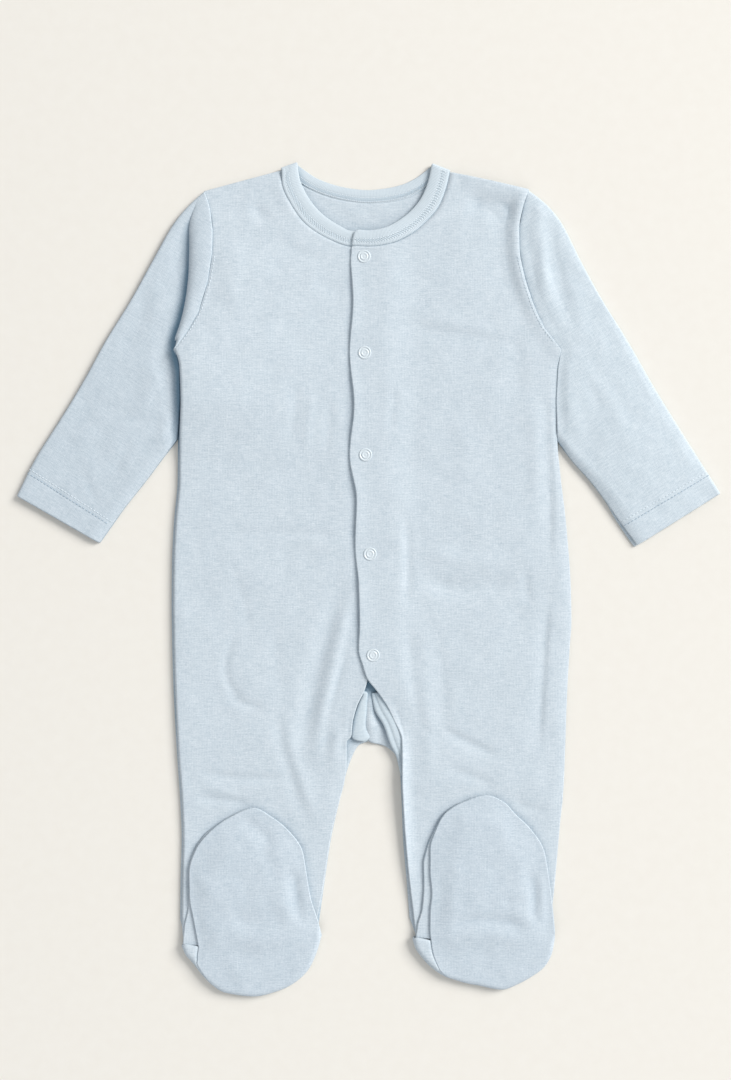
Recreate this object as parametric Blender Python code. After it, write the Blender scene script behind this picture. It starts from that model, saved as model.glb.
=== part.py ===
"""A footed baby sleepsuit that lies on its back, with its feet folded up over its legs.

Every cloth piece is a thin closed wall. Its place in plan comes from a short table of
stations in millimetres, and its height from the layers that lie beneath it.
+Y runs towards the neck, +Z is up, and right and left are the wearer's, so the
wearer's right is at -X.
"""
import bmesh
import bpy
import numpy as np

# Driving sizes. The tables below are drawn for a body of TABLE_LENGTH millimetres.
BODY_LENGTH = 0.570
TABLE_LENGTH = 570.0
MM = BODY_LENGTH / TABLE_LENGTH

CLOTH = 1.2
BAND = 1.5
GAP = 0.3
SEAM = 0.8
LAYER = CLOTH + GAP

# Heights of the underside of each layer.
FIRST = LAYER
SECOND = 2 * LAYER
THIRD = 3 * LAYER
ANKLE = FIRST + GAP
UPPER = ANKLE + LAYER
SOLE = UPPER + LAYER
SOLE_MID = SOLE + CLOTH / 2

# A front's free edges roll down over EDGE_ROUND. Columns stand at EDGE_STEPS from them.
EDGE_ROUND = 8.0
EDGE_STEPS = (0.0, 2.4, EDGE_ROUND)
EDGE_SHARE = 0.4
FOLD_ANGLES = np.radians([45.0, 90.0, 135.0])

# Longest steps between the rows of each piece, and the columns across it.
YOKE_SPACING = 10.0
FRONT_SPACING = 20.0
BACK_SPACING = 28.0
FOOT_SPACING = 15.0
SLEEVE_SPACING = 24.0
BAND_SPACING = 8.0
BAND_COLUMNS = 4
STRIP_SPACING = 24.0
STRIP_COLUMNS = 3
BACK_COLUMNS = 10
SHOULDER_ROWS = 2
RIGHT_INNER = 6
LEFT_INNER = 5

# The left front laps the right front, and lies one layer higher for this far from its edge.
LAP_FLAT = 21.0
LAP_FADE = 12.0
LAP_STEPS = (*EDGE_STEPS, LAP_FLAT, LAP_FLAT + LAP_FADE)
LAP_ROWS = 12
LAP_END = -98.0
LAP_END_FADE = 26.0

HEEL_REACH = 3.0
HEEL_RISE = (SOLE_MID - CLOTH / 2) / 2
HEEL_MID = CLOTH / 2 + HEEL_RISE
HEEL_SETBACK = np.radians(12.0)
HEEL_ROWS = 7
SOLE_CROWN = 1.5
SOLE_SOFT = 22.0
SOLE_RINGS = (0.0, 0.4, 1.5, 3.0)
SOLE_SHARES = (0.8, 0.5, 0.2, 0.0)
SOLE_SPACING = 12.0
HEEL_LINE = -238.0
HEEL_FADE = 22.0
HEEL_SINK = 0.8

# Below the underarm a sleeve's front layer sinks by SLEEVE_TUCK beside the body's side.
SLEEVE_BEND = SECOND / 2
SLEEVE_TUCK = 1.2
SLEEVE_TUCK_REACH = 25.0
SLEEVE_TUCK_START = 0.6
SLEEVE_TUCK_FADE = 0.1
SLEEVE_STEPS = (0.0, 2.5, 5.5, 9.0, 12.0, 16.0, 24.0)
SLEEVE_EVEN = 0.3
CAP_FADE_START = 0.5
CAP_FADE = 0.14

SNAP_RADIUS = 4.5
SNAP_SIDES = 16
SHARP_ANGLE = np.radians(40.0)
FOLD_END = 0.6

# Neck seam: (hole_x, hole_y, seam_x, seam_y), from the shoulder to the front edge.
NECK_FRONT_RIGHT = (
    (-48.9, 284.0, -59.5, 280.2),
    (-48.6, 280.0, -59.5, 276.0),
    (-47.9, 275.5, -59.3, 271.6),
    (-41.4, 261.1, -53.5, 257.3),
    (-32.0, 250.0, -42.5, 242.6),
    (-20.2, 242.0, -27.0, 232.8),
    (-12.0, 238.4, -13.5, 228.2),
    (1.0, 237.9, 1.5, 227.4),
)
NECK_FRONT_LEFT = (
    (43.4, 283.2, 55.4, 278.5),
    (41.9, 275.5, 53.5, 269.8),
    (37.1, 262.5, 48.0, 255.5),
    (30.8, 253.9, 39.5, 245.3),
    (22.9, 246.8, 29.0, 236.4),
    (11.3, 240.3, 13.5, 229.4),
    (0.6, 238.3, 1.0, 227.6),
    (-9.5, 239.0, -11.3, 228.1),
)
# The same seam on the back, from the right shoulder to the left one.
NECK_BACK = (
    (-48.9, 284.0, -59.5, 280.2),
    (-42.6, 279.4, -50.0, 273.5),
    (-35.9, 275.1, -41.0, 267.9),
    (-23.4, 270.4, -26.5, 262.1),
    (-12.4, 268.0, -13.5, 259.2),
    (-0.3, 266.9, -0.3, 257.7),
    (11.3, 268.0, 12.0, 258.5),
    (22.9, 270.6, 25.0, 261.0),
    (32.5, 275.1, 37.0, 267.0),
    (38.2, 279.2, 45.0, 272.5),
    (43.4, 283.2, 55.4, 278.5),
)

# Armholes, from the shoulder point to the underarm: (x, y).
ARMHOLE_RIGHT = (
    (-112.5, 265.9),
    (-110.2, 260.2),
    (-108.2, 253.6),
    (-106.2, 238.0),
    (-106.6, 222.0),
    (-109.5, 203.0),
    (-115.9, 181.6),
    (-123.5, 168.1),
    (-131.6, 157.0),
)
ARMHOLE_LEFT = (
    (109.4, 266.9),
    (105.7, 256.7),
    (102.6, 240.0),
    (102.9, 226.0),
    (105.5, 211.0),
    (110.0, 195.5),
    (114.8, 182.8),
    (120.2, 171.9),
    (131.5, 157.5),
)

# Fronts below the neck: (side_x, side_y, edge_x, edge_y, side_lift, mid_lift, edge_lift).
FRONT_RIGHT = (
    (-131.6, 157.0, 3.0, 203.0, 3.0, 3.0, 3.0),
    (-127.6, 146.0, 3.5, 177.0, 1.8, 3.0, 3.0),
    (-127.2, 122.9, 4.4, 139.0, 1.5, 3.0, 3.0),
    (-128.6, 95.6, 4.0, 103.0, 1.5, 3.0, 3.0),
    (-129.1, 68.2, 4.5, 70.0, 1.5, 3.0, 3.0),
    (-131.5, 40.9, 6.5, 41.0, 1.5, 3.0, 3.0),
    (-132.9, 13.5, 6.0, 13.5, 1.5, 3.0, 3.0),
    (-133.2, -13.9, 8.2, -13.9, 1.5, 3.0, 3.0),
    (-132.9, -41.2, 7.0, -43.0, 1.5, 3.0, 3.0),
    (-132.6, -57.0, 4.0, -57.5, 1.5, 3.0, 3.0),
    (-132.2, -68.6, -1.5, -67.5, 1.5, 3.0, 3.0),
    (-131.6, -82.0, -9.4, -82.9, 1.5, 3.0, 3.0),
    (-131.0, -95.9, -13.8, -97.0, 1.5, 3.0, 3.0),
    (-130.3, -110.0, -15.7, -111.0, 1.5, 3.0, 3.0),
    (-129.5, -123.3, -15.6, -126.0, 1.5, 2.4, 2.0),
    (-128.4, -137.0, -17.0, -138.0, 1.5, 2.0, 1.5),
    (-127.4, -150.7, -20.2, -150.7, 1.5, 1.8, 1.5),
    (-126.4, -178.0, -26.6, -178.0, 1.5, 1.8, 1.5),
    (-127.0, -205.4, -30.7, -205.4, 1.5, 1.8, 1.5),
    (-127.3, -232.7, -34.9, -228.0, 1.5, 1.8, 1.5),
    (-127.2, -246.9, -36.2, -240.8, 1.8, 1.8, 1.8),
)
FRONT_LEFT = (
    (131.5, 157.5, -12.0, 217.3, 3.0, 3.0, 3.0),
    (129.2, 145.0, -10.3, 190.0, 1.8, 3.0, 3.0),
    (128.2, 122.9, -12.7, 155.8, 1.5, 3.0, 3.0),
    (128.9, 95.6, -9.6, 119.5, 1.5, 3.0, 3.0),
    (131.3, 68.2, -12.7, 85.3, 1.5, 3.0, 3.0),
    (133.8, 48.0, -7.9, 54.5, 1.5, 3.0, 3.0),
    (135.8, 27.2, -8.9, 23.8, 1.5, 3.0, 3.0),
    (137.8, -0.2, -6.5, -3.0, 1.5, 3.0, 3.0),
    (138.5, -27.5, -5.8, -31.0, 1.5, 3.0, 3.0),
    (137.2, -48.0, -6.5, -48.1, 1.5, 3.0, 3.0),
    (136.6, -58.0, -3.6, -58.5, 1.5, 3.0, 3.0),
    (136.0, -68.0, -1.0, -66.5, 1.5, 3.0, 3.0),
    (135.6, -77.0, 6.5, -76.5, 1.5, 3.0, 3.0),
    (135.2, -86.0, 12.7, -85.7, 1.5, 3.0, 3.0),
    (134.8, -97.0, 17.8, -96.3, 1.5, 3.0, 3.0),
    (134.4, -109.6, 23.0, -109.5, 1.5, 3.0, 3.0),
    (133.9, -123.3, 23.2, -123.3, 1.5, 3.0, 3.0),
    (133.4, -137.0, 23.2, -137.0, 1.5, 3.0, 3.0),
    (132.5, -150.7, 23.8, -150.7, 1.5, 2.2, 2.2),
    (131.0, -165.0, 24.6, -165.0, 1.5, 1.8, 1.5),
    (128.6, -191.7, 26.8, -191.7, 1.5, 1.8, 1.5),
    (126.8, -212.0, 29.0, -212.0, 1.5, 1.8, 1.5),
    (124.9, -230.0, 31.2, -230.0, 1.5, 1.8, 1.5),
    (125.2, -241.6, 32.8, -243.4, 1.8, 1.8, 1.8),
)

# Foot uppers, turned up over the legs, from the ankle fold to the toe:
# (outer_x, outer_y, inner_x, inner_y).
UPPER_RIGHT = (
    (-127.2, -246.9, -36.2, -240.8),
    (-125.4, -236.0, -37.4, -231.5),
    (-123.6, -225.0, -40.2, -221.0),
    (-123.8, -210.8, -42.9, -208.0),
    (-123.3, -198.2, -44.9, -196.0),
    (-119.4, -187.0, -48.4, -184.5),
    (-112.9, -176.9, -54.9, -175.2),
    (-104.0, -168.4, -64.0, -167.2),
    (-93.0, -163.2, -71.0, -162.0),
    (-84.0, -159.2, -75.5, -158.8),
)
UPPER_LEFT = (
    (125.2, -241.6, 32.8, -243.4),
    (124.0, -232.0, 34.2, -235.0),
    (122.8, -222.0, 37.0, -225.0),
    (121.6, -208.0, 38.2, -209.0),
    (120.0, -195.0, 38.0, -195.0),
    (116.0, -183.0, 40.2, -184.0),
    (108.6, -171.5, 44.6, -173.5),
    (100.5, -163.0, 51.0, -163.0),
    (91.0, -156.0, 61.0, -156.0),
    (84.5, -151.6, 74.0, -151.6),
)

# Back: (right_x, right_y, right_inner_x, right_inner_y, left_inner_x, left_inner_y,
# left_x, left_y). The two inner edges run together down the centre, as far as the crotch.
CENTRE = -0.3
BACK_YOKE = (
    (-112.5, 265.9, -59.5, 280.2, 55.4, 278.5, 109.4, 266.9),
    (-108.2, 253.6, -50.0, 273.5, 45.0, 272.5, 105.7, 256.7),
    (-106.2, 238.0, -41.0, 267.9, 37.0, 267.0, 102.6, 240.0),
    (-106.6, 222.0, -26.5, 262.1, 25.0, 261.0, 102.9, 226.0),
    (-109.5, 203.0, -13.5, 259.2, 12.0, 258.5, 105.5, 211.0),
    (-115.9, 181.6, CENTRE, 257.7, CENTRE, 257.7, 112.0, 190.0),
    (-123.5, 168.1, CENTRE, 228.0, CENTRE, 228.0, 120.2, 171.9),
)
BACK = (
    (-131.6, 157.0, CENTRE, 195.0, CENTRE, 195.0, 131.5, 157.5),
    (-128.9, 146.2, CENTRE, 165.0, CENTRE, 165.0, 128.7, 144.5),
    (-128.9, 122.9, CENTRE, 130.0, CENTRE, 130.0, 127.7, 122.9),
    (-130.3, 95.6, CENTRE, 97.0, CENTRE, 97.0, 128.4, 95.6),
    (-130.6, 68.2, CENTRE, 68.2, CENTRE, 68.2, 130.8, 68.2),
    (-133.0, 40.9, CENTRE, 40.9, CENTRE, 40.9, 134.2, 40.9),
    (-134.4, 13.5, CENTRE, 13.5, CENTRE, 13.5, 136.4, 13.5),
    (-134.7, -13.9, CENTRE, -13.9, CENTRE, -13.9, 137.5, -13.9),
    (-134.4, -41.2, CENTRE, -41.2, CENTRE, -41.2, 137.2, -41.2),
    (-133.7, -68.6, CENTRE, -68.6, CENTRE, -68.6, 135.6, -68.6),
    (-132.4, -95.9, CENTRE, -95.9, CENTRE, -95.9, 134.3, -95.9),
    (-131.7, -109.6, CENTRE, -109.6, CENTRE, -109.6, 133.9, -109.6),
    (-131.2, -117.0, -7.2, -113.5, 12.0, -114.2, 133.6, -117.0),
    (-130.5, -128.0, -13.4, -125.5, 19.4, -121.0, 133.2, -127.0),
    (-129.6, -140.0, -17.2, -138.0, 22.2, -133.0, 132.7, -139.0),
    (-128.9, -150.7, -20.2, -150.7, 23.2, -150.7, 132.0, -150.7),
    (-127.9, -178.0, -26.3, -178.0, 24.2, -178.0, 129.6, -178.0),
    (-128.6, -205.4, -30.4, -205.4, 26.5, -205.4, 127.0, -205.4),
    (-128.9, -232.7, -33.9, -230.0, 28.6, -232.0, 124.8, -230.0),
)

# Heels, from the side edge round to the inner edge: (out_x, out_y, seam_x, seam_y).
# out is the outline. The seam to the sole lies on top where seam differs from out.
HEEL_RIGHT = (
    (-128.4, -249.5, -116.8, -251.8),
    (-125.0, -256.5, -117.2, -256.8),
    (-119.9, -263.0, -117.0, -262.2),
    (-113.6, -271.0, -112.8, -270.0),
    (-106.5, -277.9, -106.5, -277.9),
    (-97.5, -282.7, -97.5, -282.7),
    (-78.3, -285.1, -78.3, -285.1),
    (-62.6, -281.6, -62.6, -281.6),
    (-51.0, -276.0, -51.0, -276.0),
    (-41.0, -266.4, -41.0, -266.4),
    (-35.2, -253.9, -35.2, -253.9),
    (-32.2, -243.5, -32.2, -243.5),
)
HEEL_LEFT = (
    (127.2, -246.5, 127.2, -246.5),
    (125.5, -255.3, 125.5, -255.3),
    (120.5, -264.6, 120.5, -264.6),
    (111.5, -271.6, 111.5, -271.6),
    (101.0, -277.2, 101.0, -277.2),
    (91.5, -280.5, 91.5, -280.5),
    (75.0, -277.6, 75.0, -277.6),
    (60.0, -274.3, 60.0, -274.3),
    (51.8, -271.4, 52.6, -270.6),
    (43.5, -266.0, 48.0, -265.0),
    (36.5, -258.8, 45.0, -259.0),
    (31.8, -252.0, 43.2, -253.0),
    (29.7, -246.4, 42.4, -248.2),
)

# Soles round the toe, from the heel seam's inner end to its outer end: (x, y).
SOLE_RIGHT = (
    (-34.8, -233.0),
    (-40.0, -217.0),
    (-42.9, -200.0),
    (-45.6, -185.0),
    (-54.5, -172.0),
    (-66.0, -162.5),
    (-78.5, -156.2),
    (-94.6, -162.5),
    (-107.8, -172.0),
    (-118.0, -185.0),
    (-122.2, -200.0),
    (-121.8, -217.0),
    (-119.0, -233.0),
)
SOLE_LEFT = (
    (42.2, -240.0),
    (42.4, -227.0),
    (43.6, -214.0),
    (42.4, -199.0),
    (42.4, -184.0),
    (46.6, -170.0),
    (52.3, -160.0),
    (65.0, -152.0),
    (80.7, -147.6),
    (92.0, -152.0),
    (99.6, -160.0),
    (109.9, -170.0),
    (119.0, -184.0),
    (122.1, -199.0),
    (124.1, -214.0),
    (125.8, -229.0),
    (126.9, -241.0),
)

# Sleeves: the folded upper edge and the seamed lower edge, from the body to the cuff.
SLEEVE_RIGHT_FOLD = (
    (-112.5, 265.9),
    (-121.4, 258.4),
    (-132.4, 246.1),
    (-148.1, 218.7),
    (-163.1, 191.3),
    (-180.2, 164.0),
    (-195.3, 136.6),
    (-211.7, 109.3),
    (-228.8, 81.9),
    (-240.9, 57.8),
)
SLEEVE_RIGHT_SEAM = (
    (-130.9, 96.5),
    (-142.6, 81.9),
    (-152.9, 68.2),
    (-163.8, 54.5),
    (-174.1, 40.9),
    (-185.0, 25.8),
)
SLEEVE_LEFT_FOLD = (
    (109.4, 266.9),
    (122.5, 257.0),
    (131.7, 246.1),
    (145.4, 218.7),
    (160.4, 191.3),
    (177.5, 164.0),
    (193.2, 136.6),
    (209.6, 109.3),
    (226.7, 81.9),
    (240.9, 59.6),
)
SLEEVE_LEFT_SEAM = (
    (129.2, 95.6),
    (139.9, 81.9),
    (152.9, 67.2),
    (162.5, 54.5),
    (172.0, 40.9),
    (184.3, 24.1),
)
# The body's side below each underarm, which the sleeve lies against.
SLEEVE_RIGHT_SIDE = ((-129.2, 146.2), (-128.9, 122.9))
SLEEVE_LEFT_SIDE = ((129.4, 145.0), (128.2, 122.9))

# Strips that show in the crotch opening: (side_x, side_y, edge_x, edge_y).
STAND = (
    (-9.5, 225.5, 3.0, 225.5),
    (-10.0, 100.0, 3.0, 100.0),
    (-9.0, 0.0, 4.0, 0.0),
    (-12.0, -50.0, 1.5, -50.0),
    (-15.0, -77.5, -1.0, -77.5),
    (-17.5, -95.0, -1.4, -96.0),
    (-17.0, -102.0, -0.8, -103.5),
    (-12.6, -107.2, 0.4, -108.6),
)
FACING = (
    (1.2, -76.0, 12.0, -72.0),
    (3.4, -89.5, 22.0, -84.0),
    (9.2, -100.0, 28.0, -98.0),
    (13.8, -112.5, 33.0, -112.0),
    (19.4, -121.2, 34.0, -123.0),
    (22.4, -134.0, 32.0, -136.0),
)

# Snap centres down the placket: (x, y).
SNAPS = (
    (-3.1, 220.8),
    (-2.7, 155.1),
    (-2.1, 85.3),
    (1.0, 17.6),
    (3.1, -51.5),
)
# Half of a snap's turned profile, in snap radii and millimetres: (radius, height).
SNAP_PROFILE = (
    (0.0, 0.0),
    (0.93, 0.0),
    (1.0, 0.35),
    (0.9, 0.85),
    (0.7, 0.75),
    (0.55, 0.45),
    (0.42, 0.8),
    (0.22, 0.7),
    (0.0, 0.55),
)

# Largest folds: (start_x, start_y, end_x, end_y, half_width, height).
FOLDS_RIGHT = (
    (-27.0, -45.0, -36.0, -125.0, 7.0, 0.8),
    (-41.0, -60.0, -50.0, -135.0, 8.0, 0.6),
    (-46.0, 125.0, -52.0, 40.0, 9.0, 0.4),
)
FOLDS_LEFT = (
    (45.0, -2.0, 92.0, -9.0, 8.0, -0.6),
    (42.0, 12.0, 90.0, 8.0, 9.0, 0.5),
    (36.0, -70.0, 44.0, -135.0, 8.0, 0.6),
    (118.0, 130.0, 121.0, 20.0, 8.0, 0.5),
)
# A fold of the right sleeve stands beside its armhole: (distance, rise).
CAP_FOLD = ((0.0, 0.0), (3.5, 1.2), (7.5, 1.3), (11.0, -0.5), (15.0, -0.9), (32.0, 0.0))
NO_FOLD = ((0.0, 0.0), (1.0, 0.0))


def clear_scene():
    for found in list(bpy.data.objects):
        bpy.data.objects.remove(found, do_unlink=True)


def finish(name, colour, roughness, metallic=0.0):
    """A plain Principled material in the piece's colour."""
    material = bpy.data.materials.new(name)
    material.use_nodes = True
    shader = material.node_tree.nodes["Principled BSDF"]
    shader.inputs["Base Color"].default_value = (*colour, 1.0)
    shader.inputs["Roughness"].default_value = roughness
    shader.inputs["Metallic"].default_value = metallic
    return material


def eased(at, values, wanted):
    """Cubic through the columns of values, with slopes that never overshoot a station."""
    step = np.diff(at)[:, None]
    rise = np.diff(values, axis=0) / step
    slope = np.zeros_like(values)
    same_way = rise[:-1] * rise[1:] > 0
    both = np.abs(rise[:-1]) + np.abs(rise[1:])
    mean = 2 * rise[:-1] * rise[1:] / np.where(both > 0, rise[:-1] + rise[1:], 1.0)
    slope[1:-1] = np.where(same_way, mean, 0.0)
    slope[0] = rise[0]
    slope[-1] = rise[-1]
    place = np.clip(np.searchsorted(at, wanted, side="right") - 1, 0, len(at) - 2)
    width = step[place]
    t = (wanted[:, None] - at[place, None]) / width
    start = values[place] * (1 + 2 * t) * (1 - t) ** 2 + slope[place] * width * t * (1 - t) ** 2
    end = values[place + 1] * t**2 * (3 - 2 * t) + slope[place + 1] * width * t**2 * (t - 1)
    return start + end


def stations(table, spacing):
    """The rows of a table with more rows eased between them, at most spacing apart."""
    rows = np.array(table, float)
    points = rows[:, : 2 * (rows.shape[1] // 2)].reshape(len(rows), -1, 2)[:, :4]
    chords = np.linalg.norm(np.diff(points, axis=0), axis=2).max(axis=1)
    at = np.concatenate([[0.0], np.cumsum(chords)])
    counts = np.maximum(1, np.ceil(chords / spacing)).astype(int)
    pieces = [np.linspace(at[i], at[i + 1], n, endpoint=False) for i, n in enumerate(counts)]
    wanted = np.concatenate([*pieces, at[-1:]])
    return eased(at, rows, wanted)


def plan_normal(line):
    """Unit normals of a plan curve, to the left of its direction."""
    along = np.gradient(line, axis=0)
    along /= np.linalg.norm(along, axis=1, keepdims=True)
    return np.stack([-along[:, 1], along[:, 0]], axis=1)


def soft_step(t):
    t = np.clip(t, 0.0, 1.0)
    return t * t * (3 - 2 * t)


def rolled(distance):
    """1 at an edge, falling along a quarter circle to 0 at EDGE_ROUND from it."""
    t = np.clip(distance / EDGE_ROUND, 0.0, 1.0)
    return 1 - np.sqrt(1 - (1 - t) ** 2)


def folds(x, y, table):
    """The sum of soft ridges along short lines; a negative height is a trough."""
    total = np.zeros_like(x)
    for start_x, start_y, end_x, end_y, half_width, height in table:
        run = np.array([end_x - start_x, end_y - start_y])
        length = np.linalg.norm(run)
        run /= length
        along = (x - start_x) * run[0] + (y - start_y) * run[1]
        beside = (y - start_y) * run[0] - (x - start_x) * run[1]
        over = np.maximum(np.maximum(-along, along - length), 0.0)
        total += height * np.exp(-(beside**2 + (FOLD_END * over) ** 2) / half_width**2)
    return total


def near_edge(width, steps):
    """Shares of a row's width at these steps from its end, closer together where it is narrow."""
    steps = np.array(steps)[None, :]
    return np.minimum(steps / width[:, None], EDGE_SHARE * steps / steps.max())


def ladder(side, edge, inner, edge_steps):
    """Plan points of a panel between its side and its edge, with both distances."""
    run = edge - side
    width = np.linalg.norm(run, axis=1)
    first = near_edge(width, EDGE_STEPS)
    last = 1 - near_edge(width, edge_steps)[:, ::-1]
    middle = np.linspace(0.0, 1.0, inner + 1)[None, 1:-1]
    middle = first[:, -1:] + (last[:, :1] - first[:, -1:]) * middle
    share = np.concatenate([first, middle, last], axis=1)
    plan = side[:, None] + run[:, None] * share[..., None]
    return plan, share * width[:, None], (1 - share) * width[:, None]


def with_height(plan, height):
    return np.concatenate([plan, height[..., None]], axis=-1)


def lap_lift(x, y):
    """One more layer's height near the left front's edge, where it laps the right one."""
    edge = np.array([NECK_FRONT_LEFT[-1][2:4], *(row[2:4] for row in FRONT_LEFT[:LAP_ROWS])])
    beyond = x - np.interp(y, edge[::-1, 1], edge[::-1, 0])
    below = soft_step((y - LAP_END) / LAP_END_FADE)
    return LAYER * (1 - soft_step((beyond - LAP_FLAT) / LAP_FADE)) * below


def turned_over(row, outward, low, high):
    """Rows of a half turn that carries this row of plan points from low to high."""
    radius = (high - low) / 2
    rows = []
    for angle in FOLD_ANGLES:
        plan = row + radius * np.sin(angle) * outward
        height = low + radius * (1 - np.cos(angle))
        rows.append(with_height(plan, np.full(len(row), height)))
    return rows


def away_from(line, inside):
    """The plan direction square to a straight line, pointing away from a point."""
    run = line[-1] - line[0]
    square = np.array([-run[1], run[0]]) / np.linalg.norm(run)
    return square * np.sign(((line.mean(axis=0) - inside) * square).sum())


def front(neck, armhole, table, upper, ridges, edge_steps, inner, lapping):
    """A front: chest and leg in one, turned up at the ankle as the top of the foot."""
    head = []
    for index, (seam, side) in enumerate(zip(neck, armhole)):
        lift = blend(FIRST, SECOND, min(index / SHOULDER_ROWS, 1.0))
        head.append((*side, *seam[2:], lift, lift, lift))
    rows = np.concatenate([stations(head, YOKE_SPACING), stations(table, FRONT_SPACING)])
    plan, from_side, from_edge = ladder(rows[:, 0:2], rows[:, 2:4], inner, edge_steps)
    side_lift, mid_lift, edge_lift = (rows[:, index, None] for index in (4, 5, 6))
    height = mid_lift + (side_lift - mid_lift) * rolled(from_side)
    height += (edge_lift - mid_lift) * rolled(from_edge)
    height += folds(plan[..., 0], plan[..., 1], ridges)
    if lapping:
        height += lap_lift(plan[..., 0], plan[..., 1])
    leg = with_height(plan, height + CLOTH / 2)

    turned = stations(upper, FOOT_SPACING)
    foot_plan = ladder(turned[:, 0:2], turned[:, 2:4], inner, edge_steps)[0]
    low = ANKLE + CLOTH / 2
    high = UPPER + CLOTH / 2
    outward = away_from(foot_plan[0], foot_plan[-1].mean(axis=0))
    bend = turned_over(foot_plan[0], outward, low, high)
    foot = with_height(foot_plan, np.full(foot_plan.shape[:2], high))
    return np.concatenate([leg, np.array(bend), foot])


def heel(last_row, table):
    """Rows from a leg's last flat row to the heel, then up round it to the sole's seam.

    Each column climbs an ellipse from the ground. Where the seam lies on top of the foot,
    the column goes on over the ellipse and runs flat to the seam.
    """
    count = len(last_row)
    rows = np.array(table, float)
    at = np.concatenate([[0.0], np.cumsum(np.linalg.norm(np.diff(rows[:, :2], axis=0), axis=1))])
    rows = eased(at, rows, np.linspace(0.0, at[-1], count))
    outline, seam = rows[:, 0:2], rows[:, 2:4]
    normal = plan_normal(outline)
    normal *= np.sign(((outline - last_row.mean(axis=0)) * normal).sum())
    base = outline - (HEEL_REACH + CLOTH / 2) * normal
    inset = np.linalg.norm(seam - outline, axis=1)
    over = np.clip((inset - HEEL_REACH) / HEEL_REACH, 0.0, 1.0)
    last_angle = np.arccos(1 - np.clip(inset / HEEL_REACH, 0.0, 1.0)) - HEEL_SETBACK * (1 - over)
    climb = (last_angle + np.pi / 2) * (HEEL_REACH + HEEL_RISE) / 2
    flat = np.linalg.norm(seam - base, axis=1) * over
    middle_row = (last_row + base) / 2
    grid = [with_height(plan, np.full(count, CLOTH / 2)) for plan in (middle_row, base)]
    for share in np.linspace(0.0, 1.0, HEEL_ROWS + 1)[1:]:
        gone = share * (climb + flat)
        angle = -np.pi / 2 + (last_angle + np.pi / 2) * np.minimum(gone / climb, 1.0)
        plan = base + HEEL_REACH * np.cos(angle)[:, None] * normal
        past = np.clip((gone - climb) / np.maximum(flat, GAP), 0.0, 1.0)[:, None]
        plan += (seam - base) * past
        grid.append(with_height(plan, HEEL_MID + HEEL_RISE * np.sin(angle)))
    return grid


def back():
    """The back: torso and legs flat on the ground, and a heel turned up on each leg."""
    rows = np.concatenate([stations(BACK_YOKE, YOKE_SPACING), stations(BACK, BACK_SPACING)])
    together = np.isclose(rows[:, 2], CENTRE) & np.isclose(rows[:, 4], CENTRE)
    rows[together, 4:6] = rows[together, 2:4]
    across = np.linspace(0.0, 1.0, BACK_COLUMNS)[None, :, None]
    grids = []
    for side, edge, table in ((0, 2, HEEL_RIGHT), (6, 4, HEEL_LEFT)):
        plan = blend(rows[:, None, side:side + 2], rows[:, None, edge:edge + 2], across)
        flat = with_height(plan, np.full(plan.shape[:2], CLOTH / 2))
        grids.append(np.concatenate([flat, np.array(heel(plan[-1], table))]))
    return [grids[0], grids[1][:, ::-1]]


def sole(heel_rows, toe):
    """A sole: rings from its rim to its middle, crowned, and rolled down at the heel.

    Round the heel the rim carries on the line of the back's own cloth, past the seam.
    """
    onward = heel_rows[-1] - heel_rows[-2]
    onward /= np.linalg.norm(onward, axis=1, keepdims=True)
    seam = heel_rows[-1] + (SEAM + GAP) * onward
    around = stations(toe, SOLE_SPACING)
    rim = np.concatenate([seam, with_height(around, np.full(len(around), SOLE_MID))])
    rim = np.concatenate([rim, rim[:1]])
    plan, drop = rim[:, 0:2], SOLE_MID - rim[:, 2]
    along = np.roll(plan[:-1], -1, axis=0) - np.roll(plan[:-1], 1, axis=0)
    normal = np.stack([-along[:, 1], along[:, 0]], axis=1)
    normal /= np.linalg.norm(normal, axis=1, keepdims=True)
    normal = np.concatenate([normal, normal[:1]])
    middle = plan[:-1].mean(axis=0)
    normal *= np.sign(((plan - middle) * normal).sum())
    grid = []
    for inset in SOLE_RINGS:
        roll = 1 - np.sqrt(1 - (1 - inset / SOLE_RINGS[-1]) ** 2)
        ring = plan - inset * normal
        grid.append(with_height(ring, SOLE_MID - drop * roll + sole_crown(ring, inset)))
    last_ring = grid[-1][:, :2]
    reach = np.linalg.norm(last_ring - middle, axis=1)
    for share in SOLE_SHARES:
        ring = middle + (last_ring - middle) * share
        inset = SOLE_RINGS[-1] + (1 - share) * reach
        grid.append(with_height(ring, SOLE_MID + sole_crown(ring, inset)))
    grid[-1][:, 2] = grid[-1][:, 2].mean()
    return np.array(grid)


def sole_crown(plan, inset):
    """Height of the sole's soft crown over its rim, which sinks towards the heel."""
    heel_share = soft_step((HEEL_LINE - plan[:, 1]) / HEEL_FADE)
    return SOLE_CROWN * soft_step(inset / SOLE_SOFT) * (1 - HEEL_SINK * heel_share)


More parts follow.
